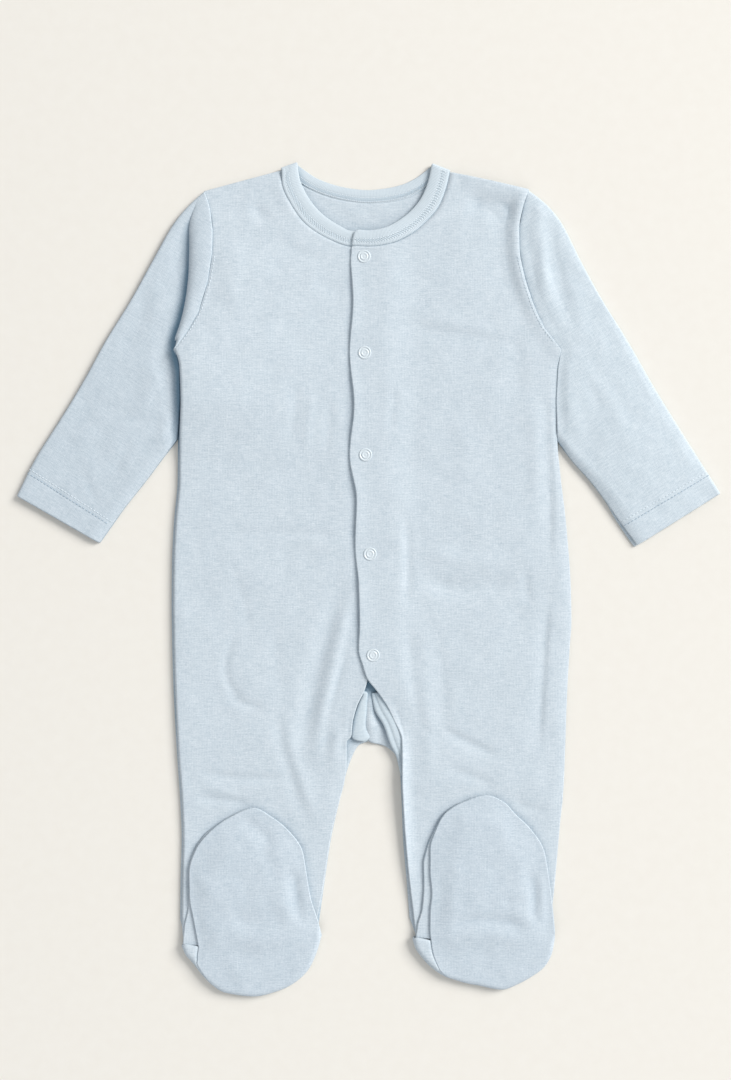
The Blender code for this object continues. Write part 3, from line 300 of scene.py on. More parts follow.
# Creases: (start_x, start_y, middle_x, middle_y, end_x, end_y, left_width, right_width,
# height). Left and right are seen along the crease, and a negative height is a trough.
CREASES_RIGHT = (
    (-11, 4, -35, -62, -46, -140, 6, 7, -1.1), (-8, 2, -25, -62, -34.5, -132, 4, 6, 1.3),
    (-13, -44, -24, -84, -34, -128, 3.5, 4, -0.9), (-8, -48, -17, -88, -26, -134, 4, 4.5, 1),
    (-63, -84, -56, -122, -40, -168, 4.5, 5.5, -0.8), (-58, -96, -50, -128, -35, -170, 4.5, 5, 0.6),
    (-86, -30, -98, -64, -78, -88, 3.5, 3, -0.65), (-66, -20, -62, -60, -60, -96, 5, 6, -0.3),
    (-106, 175, -60, 178, -20, 184, 2.5, 5, -0.3), (-106, 30, -58, 32, -12, 28, 4, 3, -0.4),
    (-52, 135, -50, 118, -55, 92, 3.5, 4, -0.45), (-26, 128, -27, 108, -30, 80, 3, 4, -0.4),
    (-38, 130, -41, 110, -43, 86, 3, 3, 0.35), (-14, 132, -15, 110, -16, 90, 3, 3, -0.3),
    (-97, 18, -86, -12, -80, -46, 3, 3.5, -0.25), (-96, -78, -86, -85, -70, -86, 2.5, 3.5, -0.6),
    (-120, -131, -83, -136, -50, -134, 3, 4, -0.75),
    (-117, -141, -97, -145, -86, -150, 2.5, 2.5, 0.35),
    (-122, -149, -98, -151, -76, -154, 2.5, 3.5, -0.75), (-70, 205, -48, 226, -36, 234, 6, 6, -0.4),
    (-84, 252, -64, 250, -50, 240, 6, 6, -0.9), (-40, 205, -28, 200, -14, 196, 4, 5, -0.3),
    (-90, 230, -92, 205, -96, 180, 6, 7, 0.5),
)
CREASES_LEFT = (
    (14, 174, 55, 169, 104, 160, 4, 7, -0.5), (30, 178, 58, 176, 92, 168, 6, 5, 0.2),
    (33, 5, 66, -6, 106, 4, 7, 7.5, -1.35), (34, 21, 66, 13, 99, 17, 6, 6, 0.7),
    (18.5, 134, 16.5, 116, 14, 96, 2.5, 3.5, -0.35), (25, 46, 27, 14, 25.5, -20, 3.5, 3.5, -0.5),
    (20.5, 48, 22, 12, 21, -24, 3, 4.5, 0.35), (34, -12, 40, -78, 42, -150, 5, 6, 0.55),
    (26, -22, 30, -70, 34, -120, 4, 4, -0.4), (46, -30, 51, -72, 52, -110, 4, 5, -0.35),
    (46, -100, 70, -112, 92, -122, 3, 4.5, -0.8), (50, -128, 66, -133, 90, -142, 3.5, 4.5, -0.7),
    (121, 140, 124.5, 74, 124, 4, 1.8, 6.5, -0.8),
    (124.5, -2, 120.5, -52, 116.5, -122, 2, 5.5, -0.8), (112, 120, 114, 84, 112, 44, 5, 5, 0.4),
    (48, 258, 78, 257, 106, 246, 7.5, 8, -1.5), (94, 176, 102, 150, 100, 118, 6, 8, -0.5),
    (108.5, 8, 108, -6, 112, -18, 3, 4, -0.5), (60, 120, 66, 92, 62, 62, 8, 8, 0.3),
    (98, -150, 110, -156, 122, -156, 2.5, 3, -0.4),
)
CREASES_BACK = (
    (-18, 257, -8, 251, 0, 251, 3, 3, 0.35), (0, 251, 8, 252, 16, 257, 3, 3, 0.35),
    (-24, -128, -1, -98, 24, -130, 5, 5, 0.9), (0.4, -70, -0.2, -93, 2, -122, 5, 1.6, 2),
)
CREASES_SLEEVE_RIGHT = (
    (-150, 205, -158, 176, -168, 150, 6, 7, -0.5), (-142, 150, -150, 128, -158, 108, 5, 7, 0.5),
    (-160, 96, -168, 84, -176, 70, 4, 5, -0.4), (-180, 120, -190, 104, -202, 90, 6, 6, 0.4),
    (-137, 118, -139, 104, -146, 92, 4, 4, 0.4), (-196, 74, -190, 62, -186, 50, 3, 3, -0.25),
)
CREASES_SLEEVE_LEFT = (
    (124, 170, 160, 118, 214, 38, 40, 24, 1.7), (116, 236, 114, 218, 116, 200, 4.5, 6, -0.7),
    (120, 246, 119, 220, 122, 192, 4, 5, 0.7), (130, 226, 130, 204, 136, 180, 5, 6, -0.5),
    (141, 205, 142, 186, 150, 160, 6, 6, 0.5), (146, 146, 152, 130, 160, 112, 4, 5, -0.35),
    (160, 132, 168, 116, 174, 98, 5, 5, 0.35), (136, 128, 140, 112, 148, 96, 5, 5, 0.4),
)
CREASES_SOLE_RIGHT = (
    (-50, -196, -50, -216, -46, -238, 4, 5, -0.8), (-90, -164, -76, -171, -64, -186, 5.5, 7, -1.1),
    (-97, -226, -76, -234, -52, -224, 6, 7, -0.9), (-90, -244, -70, -246, -48, -238, 6, 6, 0.5),
    (-56, -190, -50, -214, -48, -240, 5, 6, -0.45), (-74, -176, -66, -192, -62, -210, 5, 7, -0.4),
    (-108, -200, -110, -222, -106, -246, 6, 7, 0.4), (-100, -262, -84, -268, -66, -262, 5, 6, 0.3),
)
CREASES_SOLE_LEFT = (
    (112, -200, 113, -216, 112, -236, 3, 4.5, -0.6), (48, -243, 78, -232, 114, -241, 4, 5, -1),
    (52, -251, 80, -241, 110, -250, 5, 5, 0.5), (106, -190, 112, -212, 112, -238, 5, 5, -0.55),
    (118, -200, 119, -220, 118, -240, 3, 4, 0.45), (90, -222, 100, -219, 110, -221, 3, 4, -0.4),
    (60, -170, 72, -164, 88, -166, 6, 7, 0.35), (58, -200, 56, -216, 58, -232, 4, 5, 0.35),
)
# Folds that run out to an edge, in the same columns.
FOLDS_RIGHT = (
    (-10.2, -73, -15, -90, -15.6, -116, 0.8, 0.8, 0.4),
    (-60, 278, -57, 262, -46, 246, 2.5, 6.5, 0.4),
)
FOLDS_LEFT = (
    (50, 284, 84, 275, 118, 256, 4, 14, 1.9), (62, 272, 56, 256, 40, 240, 4, 3, 0.5),
    (14.5, -78, 20, -92, 25.4, -112, 0.7, 0.7, -0.45),
)
CREASE_POINTS = np.linspace(0, 1, 9)[:, None]
CREASE_TAPER = 0.3

# A raised strip of the right sleeve beside its armhole: the line of the fold at its outer
# side, the strip's section from the seam (0) to the fold (1), the valley's section beyond the
# fold, and how much of each shows along the body from the shoulder (0) to the underarm (1).
CAP_CREASE = (
    (-113.5, 265.3), (-119.6, 252), (-122.3, 242), (-122, 228), (-122.2, 212), (-124, 193),
    (-127.6, 176), (-131.6, 164), (-133, 158),
)
CAP_TOP = (
    (0, -0.1), (0.06, 0.02), (0.3, 0.5), (0.55, 0.65), (0.7, 0.45), (0.82, 0), (0.92, -0.7),
    (0.97, -1.3), (1, -2.2),
)
CAP_VALLEY = ((0, -1.45), (9, -1.42), (16, -1), (26, -0.4), (38, 0))
CAP_LIFT = (
    (0, 0), (0.068, 0.8), (0.2, 2.7), (0.42, 4), (0.76, 4.8), (1, 5), (1.02, -1.45), (1.4, -1.45),
    (1.6, -0.58), (3, 0),
)
CAP_PARTS = ((0, 0), (0.05, 0.25), (0.12, 0.75), (0.2, 1), (0.3, 1), (0.98, 1), (1.02, 0), (3, 0))
VALLEY_PARTS = ((0, 0), (0.05, 0.25), (0.12, 0.8), (0.25, 1), (1.4, 1), (1.6, 0.4), (3, 0))
CAP_ROWS = (0, 0.03, 0.08, 0.16, 0.27, 0.4, 0.54, 0.67, 0.78, 0.87, 0.93, 0.97, 1)
CAP_LEAST = 0.7
CAP_EVEN = 5
CAP_LINE_SPACING = 3.0
# Rows of the fold's overhang: how far out from the fold, and the share of the drop gone.
OVERHANG = ((-0.25, 0.22), (-0.55, 0.5), (-0.3, 0.85), (0.4, 1), (1.3, 1), (2.4, 1), (3.7, 1))
CAP_WALL_ROWS = 4
CAP_LIMIT = ((0, 30), (0.8, 20), (0.87, 9), (0.92, 5.5), (1, 1.6), (1.02, 0.7), (3, 0.7))
CAP_SEARCH = 30.0
CAP_STEP = 0.4

# Sections beside a seam: (distance, rise), and how much of each shows along it: (y, part) on
# the fronts and (share, part) on the sleeves.
ARMHOLE_RIGHT_SECTION = (
    (0, 3.5), (0.8, 3.9), (2, 4), (8, 4), (20, 3.7), (40, 2.8), (65, 1.5), (90, 0.5), (115, 0),
)
ARMHOLE_RIGHT_PARTS = (
    (-300, 0), (78, 0), (90, 0.26), (103, 0.66), (123, 1.3), (146, 1.5), (157, 1.42), (178, 1.14),
    (216, 0.88), (241, 0.45), (258, 0.08), (266, 0), (300, 0),
)
ARMHOLE_LEFT_SECTION = (
    (0, 0.3), (0.7, 0.65), (1.6, 0.85), (3, 0.85), (5, 0.35), (7.5, -0.5), (10, -1), (13, -1.1),
    (18, -0.85), (27, -0.35), (40, 0),
)
ARMHOLE_LEFT_PARTS = (
    (-300, 0.2), (157, 0.2), (180, 0.45), (208, 1), (244, 1), (259, 0.8), (267, 0.2), (300, 0.2),
)
SLEEVE_RIGHT_SECTION = ((0, -0.2), (0.7, -0.04), (2, 0), (5, 0))
SLEEVE_RIGHT_PARTS = ((0, 1), (0.25, 1), (0.35, 0.4), (1, 0.4))
SLEEVE_LEFT_SECTION = (
    (0, -0.7), (0.8, -0.3), (3, 0.1), (6, 0.5), (9, 1.05), (12, 1.2), (15, 0.9), (19, 0.4),
    (23, 0.3), (28, 0.55), (35, 0.45), (46, 0.1), (56, 0),
)
SLEEVE_LEFT_PARTS = ((0, 0.3), (0.08, 1), (0.4, 1), (0.6, 0.4), (0.75, 0), (1, 0))
NECK_RIGHT_SECTION = ((0, -0.6), (0.7, -0.35), (1.6, -0.1), (3, 0), (6, 0))
NECK_LEFT_SECTION = ((0, -1.2), (0.7, -0.75), (1.6, -0.15), (3, 0.1), (6, 0))

# Sleeves: distances of rows from the cuff's end, closer together about its two rows of
# stitches. The back layer peeks out beyond the seam at the cuff.
SLEEVE_BEND = SECOND / 2
SLEEVE_STEPS = (0, 0.4, 0.9, 1.6, 2.6)
RELAX_GRID = (45, 61)
RELAX_ROUNDS = 900
CUFF_STEPS = (
    20.5, 19.6, 18.9, 18.4, 18, 17.6, 17.1, 16.65, 16.2, 15.75, 15.3, 14.9, 14.4, 13.6, 12.4, 10.6,
    8.8, 7, 5.3, 3.8, 2.6, 1.6, 0.8, 0,
)
CUFF_ROWS = (18, 15.3)
CUFF_REACH = 0.1
CUFF_STRAIGHT = 0.68
CUFF_FADE = 0.2
CUFF_GROOVE = 0.12
CUFF_GROOVE_WIDTH = 0.75
CUFF_SCALE_RIGHT = (1.11, 0.8)
CUFF_SCALE_LEFT = (0.94, 1.09)
PEEK_RIGHT = 0.4
PEEK_LEFT = 2.0
PEEK_WIDE = 30.0
PEEK_LONG = 48.0
SLEEVE_GRAIN = 31.0

# The neck strip: sections across it from the hole (0) to the seam (1).
BAND_WIDE = 11.0
BAND_CORNER = 3.2
BAND_CORNER_STEPS = 9
BAND_CORNER_ROWS = 3
BAND_SINK = -0.1
BAND_SHARES = (
    0, 0.03, 0.08, 0.16, 0.28, 0.4, 0.5, 0.535, 0.57, 0.605, 0.64, 0.7, 0.745, 0.78, 0.81, 0.84,
    0.875, 0.93, 0.97, 1,
)
BAND_RIGHT_SECTION = (
    (0, -0.35), (0.08, 0), (0.3, 0.3), (0.5, 0.35), (0.57, 0.18), (0.64, 0.25), (0.745, 0.25),
    (0.81, 0.18), (0.875, 0.4), (0.97, 0.35), (1, 0.1),
)
BAND_LEFT_SECTION = (
    (0, -0.35), (0.08, 0), (0.3, 0.25), (0.5, 0.3), (0.57, 0.1), (0.64, 0.18), (0.745, 0.15),
    (0.81, 0.02), (0.875, 0.12), (0.97, -0.1), (1, -0.5),
)


def unit(vectors):
    """Each vector over its length."""
    return vectors / np.linalg.norm(vectors, axis=-1, keepdims=True)


def running(steps):
    """Running total of steps, from 0."""
    return np.concatenate([[0.0], np.cumsum(steps)])


def lengths_along(line):
    """Distance gone at each point of a line."""
    return running(np.linalg.norm(np.diff(line, axis=0), axis=1))


def eased(at, values, wanted):
    """Cubic through the columns of values, with slopes that never overshoot a station."""
    step = np.diff(at)[:, None]
    rise = np.diff(values, axis=0) / step
    slope = np.zeros_like(values)
    same_way = rise[:-1] * rise[1:] > 0
    both = np.abs(rise[:-1]) + np.abs(rise[1:])
    mean = 2 * rise[:-1] * rise[1:] / np.where(both > 0, rise[:-1] + rise[1:], 1)
    slope[1:-1] = np.where(same_way, mean, 0)
    slope[[0, -1]] = rise[[0, -1]]
    place = np.clip(np.searchsorted(at, wanted, side="right") - 1, 0, len(at) - 2)
    width = step[place]
    t = (wanted[:, None] - at[place, None]) / width
    start = values[place] * (1 + 2 * t) * (1 - t) ** 2 + slope[place] * width * t * (1 - t) ** 2
    end = values[place + 1] * t**2 * (3 - 2 * t) + slope[place + 1] * width * t**2 * (t - 1)
    return start + end


def section(distance, table):
    """The rise a table gives at each distance, eased between its rows."""
    rows = np.array(table, float)
    inside = np.clip(np.ravel(distance), rows[0, 0], rows[-1, 0])
    return eased(rows[:, 0], rows[:, 1:], inside).reshape(np.shape(distance))


def stations(table, spacing):
    """The rows of a table with more rows eased between them, at most spacing apart."""
    rows = np.array(table, float)
    points = rows[:, : 2 * (rows.shape[1] // 2)].reshape(len(rows), -1, 2)[:, :4]
    chords = np.linalg.norm(np.diff(points, axis=0), axis=2).max(axis=1)
    at = running(chords)
    counts = np.maximum(1, np.ceil(chords / spacing)).astype(int)
    pieces = [np.linspace(at[i], at[i + 1], n, endpoint=False) for i, n in enumerate(counts)]
    return eased(at, rows, np.concatenate([*pieces, at[-1:]]))


def joined(first, table, spacing):
    """Stations of a table that carries on from the row before it in a straight line."""
    lead = stations((first, table[0]), spacing)
    return np.concatenate([lead[:-1], stations(table, spacing)])


def points_at(line, at, wanted):
    """Points straight between those of a line that lie at these distances along it."""
    return np.stack([np.interp(wanted, at, column) for column in line.T], axis=-1)


def smooth_line(table, spacing):
    """A line eased through a table of points, with its points evenly spaced."""
    rows = np.array(table, float)
    at = lengths_along(rows)
    count = max(2, int(math.ceil(at[-1] / spacing)) + 1)
    line = eased(at, rows, np.linspace(0, at[-1], count))
    at = lengths_along(line)
    return points_at(line, at, np.linspace(0, at[-1], count))


def shares_on(line, shares):
    """Points eased along a line at shares of its length."""
    at = lengths_along(line)
    return eased(at / at[-1], line, shares.ravel()).reshape(*shares.shape, 2)


def soft_step(t):
    """0 up to t = 0 and 1 from t = 1, by a cubic that is level at both ends."""
    t = np.clip(t, 0, 1)
    return t * t * (3 - 2 * t)


def blend(first, last, share):
    """Straight from first to last by a share of the way."""
    return first + (last - first) * share


def rolled(distance, reach=EDGE_ROUND):
    """1 at an edge, falling along a parabola to 0 at reach from it."""
    return (1 - np.clip(distance / reach, 0, 1)) ** 2


def evened(values, count):
    """The mean of each value and those round it, count in all, with the end ones repeated."""
    sides = [(count // 2, count // 2)] + [(0, 0)] * (values.ndim - 1)
    padded = np.pad(values, sides, mode="edge")
    return sum(padded[step:step + len(values)] for step in range(count)) / count


def with_height(plan, height):
    """Plan points with their heights, or with one height for all."""
    height = np.broadcast_to(height, plan.shape[:-1])
    return np.concatenate([plan, height[..., None]], axis=-1)


def plan_normal(line):
    """Unit normals of a plan curve, to the left of its direction."""
    along = unit(np.gradient(line, axis=0))
    return np.stack([-along[:, 1], along[:, 0]], axis=1)


def beside(x, y, line):
    """Signed distance from a plan line, positive on its left, and the share gone along it."""
    best = np.full(x.shape, np.inf)
    signed, share = np.zeros(x.shape), np.zeros(x.shape)
    at = lengths_along(line)
    for start, end, gone in zip(line[:-1], line[1:], at):
        length = np.linalg.norm(end - start)
        run = (end - start) / length
        across = (y - start[1]) * run[0] - (x - start[0]) * run[1]
        along = (x - start[0]) * run[0] + (y - start[1]) * run[1]
        inside = np.clip(along, 0, length)
        distance = np.hypot(across, along - inside)
        nearer = distance < best
        best = np.where(nearer, distance, best)
        signed = np.where(nearer, np.copysign(distance, across), signed)
        share = np.where(nearer, (gone + inside) / at[-1], share)
    return signed, share


def creases(x, y, table):
    """Soft ridges and troughs along bent lines.

    Each is a bell across the line, with a width of its own on each side, and fades out
    towards both ends.
    """
    total = np.zeros_like(x)
    for row in table:
        start, middle, end = (np.array(row[place:place + 2]) for place in (0, 2, 4))
        left, right, height = row[6:9]
        t = CREASE_POINTS
        pull = 2 * middle - (start + end) / 2
        line = (1 - t) ** 2 * start + 2 * t * (1 - t) * pull + t**2 * end
        signed, share = beside(x, y, line)
        width = np.where(signed > 0, left, right)
        taper = soft_step(share / CREASE_TAPER) * soft_step((1 - share) / CREASE_TAPER)
        total += height * taper * np.exp(-((signed / width) ** 2))
    return total


def wander(x, y, seed, longest, shortest, count):
    """An uneven surface: waves of several lengths and directions, summed."""
    chance = np.random.default_rng(seed)
    total = np.zeros_like(x)
    for size in np.geomspace(longest, shortest, count):
        angle, phase, warp = chance.uniform(0, 2 * np.pi, 3)
        run = x * np.cos(angle) + y * np.sin(angle)
        cross = y * np.cos(angle) - x * np.sin(angle)
        sway = np.sin(2 * np.pi * cross / (WAVE_SWAY_LENGTH * size) + warp)
        bent = run + size * WAVE_SWAY * sway
        total += np.sin(2 * np.pi * bent / size + phase) * (size / longest) ** WAVE_FALL
    return WANDER_HIGH * (total / count**0.5)


def near_edge(width):
    """Shares of a row's width at the edge steps, closer together where it is narrow."""
    steps = np.array(EDGE_STEPS)[None, :]
    return np.minimum(steps / width[:, None], EDGE_SHARE * steps / steps.max())


def ladder(rows, inner):
    """Plan points of a panel from its side to its edge, and their distances from both.

    inner is the number of even columns between the closer ones along the side and the edge.
    """
    run = rows[:, 2:4] - rows[:, 0:2]
    width = np.linalg.norm(run, axis=1)
    first = near_edge(width)
    last = 1 - first[:, ::-1]
    middle = np.linspace(0, 1, inner + 2)[None, 1:-1]
    middle = first[:, -1:] + (last[:, :1] - first[:, -1:]) * middle
    share = np.concatenate([first, middle, last], axis=1)
    plan = rows[:, None, 0:2] + run[:, None] * share[..., None]
    return plan, share * width[:, None], (1 - share) * width[:, None]


def turned_over(row, outward, low, high):
    """Rows of a half turn that carries this row of plan points from low to high."""
    radius = (high - low) / 2
    return np.array([with_height(row + radius * np.sin(angle) * outward,
                                 low + radius * (1 - np.cos(angle))) for angle in FOLD_ANGLES])


def away_from(line, inside):
    """The plan direction square to a straight line, pointing away from a point."""
    run = line[-1] - line[0]
    square = np.array([-run[1], run[0]]) / np.linalg.norm(run)
    return square * np.sign(((line.mean(axis=0) - inside) * square).sum())


def lap_lift(x, y):
    """One more layer's height near the left front's edge, where it laps the right one."""
    edge = np.array([NECK_FRONT_LEFT[-1][2:4], *(row[2:4] for row in FRONT_LEFT[:LAP_ROWS])])
    beyond = x - np.interp(y, edge[::-1, 1], edge[::-1, 0])
    below = soft_step((y - LAP_END) / LAP_END_FADE)
    return LAYER * (1 - soft_step((beyond - LAP_FLAT) / LAP_FADE)) * below


def snap_dimples(x, y):
    """Bells sunk into the cloth under each snap."""
    total = np.zeros_like(x)
    for snap_x, snap_y in SNAPS:
        near = np.hypot(x - snap_x, y - snap_y)
        total -= SNAP_DIMPLE * np.exp(-((near / SNAP_DIMPLE_WIDTH) ** 2))
    return total


def lap_spring(y, from_edge):
    """The lap's free edge stands up a little between the snaps."""
    rest = np.min([np.abs(y - snap_y) for _, snap_y in SNAPS], axis=0)
    between = soft_step(rest / SNAP_REST)
    above_crotch = soft_step((y - SNAPS[-1][1] + SNAP_REST) / SNAP_REST)
    return LAP_SPRING * between * above_crotch * np.exp(-((from_edge / LAP_SPRING_WIDTH) ** 2))


def front(neck, armhole, table, upper, shapes, waves, lapping):
    """A front: chest and leg in one, turned up at the ankle as the top of the foot.

    Height is the layers below, rolled down at the edges, with sections along the seams,
    creases, and a slight unevenness away from the lap.
    """
    side_end, ridges, folds, shoulder, side_section, side_parts, neck_section, wall = shapes
    head = []
    for index, (seam, side) in enumerate(zip(neck, armhole)):
        lift = shoulder[min(index, len(shoulder) - 1)]
        head.append((*side, *seam[2:], lift, lift, lift))
    rows = np.concatenate([stations(head, ROW)[:-1], joined(head[-1], table, ROW)])
    widest = np.linalg.norm(rows[:, 2:4] - rows[:, 0:2], axis=1).max()
    inner = int((widest - 2 * EDGE_ROUND) / COLUMN) - 1
    plan, from_side, from_edge = ladder(rows, inner)
    x, y = plan[..., 0], plan[..., 1]
    side_lift, mid_lift, edge_lift = (rows[:, index, None] for index in (4, 5, 6))
    height = mid_lift + (side_lift - mid_lift) * rolled(from_side)
    height = height + (edge_lift - mid_lift) * rolled(from_edge)
    signed, _ = beside(x, y, np.array((*armhole, *side_end)))
    height = height + section(np.abs(signed), side_section) * section(y, side_parts)
    neck_share = soft_step((rows[:, 3, None] - neck[-1][3] + NECK_END_FADE) / NECK_END_FADE)
    height = height + neck_share * section(from_edge, neck_section)
    side_calm = soft_step(from_side / EDGE_ROUND)
    calm = soft_step((from_edge - CALM_START) / CALM_FADE) * side_calm
    low_calm = soft_step(from_edge / EDGE_ROUND) * side_calm
    calm = np.maximum(calm, soft_step((LAP_END - y) / CALM_FADE) * low_calm)
    detail = creases(x, y, ridges) + wander(x, y, *waves)
    height = height + calm * detail + creases(x, y, folds)
    if lapping:
        height = height + lap_lift(x, y) + snap_dimples(x, y) + lap_spring(y, from_edge)
    height = height - section(from_side, WALL_SECTION) * section(y, wall)
    height = np.where(from_side > EDGE_ROUND, np.maximum(height, FIRST), height)
    leg = with_height(plan, height + CLOTH / 2)

    foot, _, _ = ladder(stations(upper, ROW), inner)
    low = rows[-1, 5] + CLOTH / 2
    high = UPPER + CLOTH / 2
    leg[-1, :, 2] = low
    bend = turned_over(foot[0], away_from(foot[0], foot[-1].mean(axis=0)), low, high)
    return np.concatenate([leg, bend, with_height(foot, high)])


def heel(last_row, table):
    """Rows from a leg's last flat row to the heel, then up round it to the sole's seam.

    Each column climbs an ellipse from the ground. Where the seam lies on top of the foot,
    the column goes on over the ellipse and runs flat to the seam.
    """
    rows = np.array(table, float)
    at = lengths_along(rows[:, :2])
    rows = eased(at, rows, np.linspace(0, at[-1], len(last_row)))
    outline, seam = rows[:, 0:2], rows[:, 2:4]
    normal = plan_normal(outline)
    normal *= np.sign(((outline - last_row.mean(axis=0)) * normal).sum())
    base = outline - (HEEL_REACH + CLOTH / 2) * normal
    inset = np.linalg.norm(seam - outline, axis=1)
    over = np.clip((inset - HEEL_REACH) / HEEL_REACH, 0, 1)
    last_angle = np.arccos(1 - np.clip(inset / HEEL_REACH, 0, 1)) - HEEL_SETBACK * (1 - over)
    climb = (last_angle + np.pi / 2) * (HEEL_REACH + HEEL_RISE) / 2
    flat = np.linalg.norm(seam - base, axis=1) * over
    grid = [with_height(blend(last_row, base, share), CLOTH / 2)
            for share in np.linspace(0, 1, HEEL_FLAT_ROWS + 1)[1:]]
    for share in np.linspace(0, 1, HEEL_ROWS + 1)[1:]:
        gone = share * (climb + flat)
        angle = -np.pi / 2 + (last_angle + np.pi / 2) * np.minimum(gone / climb, 1)
        past = np.clip((gone - climb) / np.maximum(flat, GAP), 0, 1)[:, None]
        plan = base + HEEL_REACH * np.cos(angle)[:, None] * normal + (seam - base) * past
        grid.append(with_height(plan, HEEL_MID + HEEL_RISE * np.sin(angle)))
    return np.array(grid)


def back():
    """The back: torso and legs flat on the ground, and a heel turned up on each leg."""
    rows = np.concatenate([stations(BACK_YOKE, BACK_SPACING)[:-1],
                           joined(BACK_YOKE[-1], BACK, BACK_SPACING)])
    together = np.isclose(rows[:, 2], CENTRE) & np.isclose(rows[:, 4], CENTRE)
    rows[together, 4:6] = rows[together, 2:4]
    count = int(np.ptp(rows[:, (0, 6)]) / 2 / BACK_SPACING)
    across = np.linspace(0, 1, count)[None, :, None]
    grids = []
    for side, edge, table in ((0, 2, HEEL_RIGHT), (6, 4, HEEL_LEFT)):
        plan = blend(rows[:, None, side:side + 2], rows[:, None, edge:edge + 2], across)
        height = CLOTH / 2 + creases(plan[..., 0], plan[..., 1], CREASES_BACK)
        grids.append(np.concatenate([with_height(plan, height), heel(plan[-1], table)]))
    return grids[0], grids[1][:, ::-1]


def stepped(grid):
    """A heel's rows, the last few sunk where the sole's seam lies flat on top of the foot."""
    over = (grid[-1 - len(HEEL_STEPS), :, 2] > SOLE_MID - GAP).astype(float)
    low = grid.copy()
    low[-len(HEEL_STEPS):, :, 2] -= np.array(HEEL_STEPS)[:, None] * evened(over, HEEL_EVEN)
    return low


def sole_crown(plan, inset):
    """Height of the sole's soft crown over its rim, which sinks towards the heel."""
    heel_share = soft_step((HEEL_LINE - plan[:, 1]) / HEEL_FADE)
    return SOLE_CROWN * soft_step(inset / SOLE_SOFT) * (1 - HEEL_SINK * heel_share)


def sole(heel_rows, toe, ridges, waves):
    """A sole: rings from its rim to its middle, crowned, and rolled down at the heel."""
    onward = evened(unit(heel_rows[-1] - heel_rows[-2]), RIM_EVEN)
    seam = heel_rows[-1] + (SEAM + GAP) * onward
    around = with_height(smooth_line(toe, SOLE_SPACING), SOLE_MID)
    first_gap = smooth_line((seam[-1], around[0]), SOLE_SPACING)[1:-1]
    last_gap = smooth_line((around[-1], seam[0]), SOLE_SPACING)[1:-1]
    rim = np.concatenate([seam, first_gap, around, last_gap, seam[:1]])
    plan, drop = rim[:, 0:2], SOLE_MID - rim[:, 2]
    middle = plan[:-1].mean(axis=0)
    inward = unit(middle - plan)
    grid = []
    for inset in SOLE_RINGS:
        roll = 1 - np.sqrt(1 - (1 - inset / SOLE_RINGS[-1]) ** 2)
        ring = plan + inset * inward
        grid.append(with_height(ring, SOLE_MID - drop * roll + sole_crown(ring, inset)))
    last_ring = grid[-1][:, :2]
    reach = np.linalg.norm(last_ring - middle, axis=1)
    for share in np.linspace(1, 0, int(reach.max() / SOLE_RING_STEP))[1:]:
        ring = middle + (last_ring - middle) * share
        inset = SOLE_RINGS[-1] + (1 - share) * reach
        grid.append(with_height(ring, SOLE_MID + sole_crown(ring, inset)))
    grid = np.array(grid)
    x, y = grid[..., 0], grid[..., 1]
    inset = np.linalg.norm(grid[..., :2] - grid[:1, :, :2], axis=2)
    detail = creases(x, y, ridges) + wander(x, y, *waves)
    grid[..., 2] += soft_step(inset / EDGE_ROUND) * detail
    grid[-1] = grid[-1].mean(axis=0)
    grid[:, -1] = grid[:, 0]
    return grid


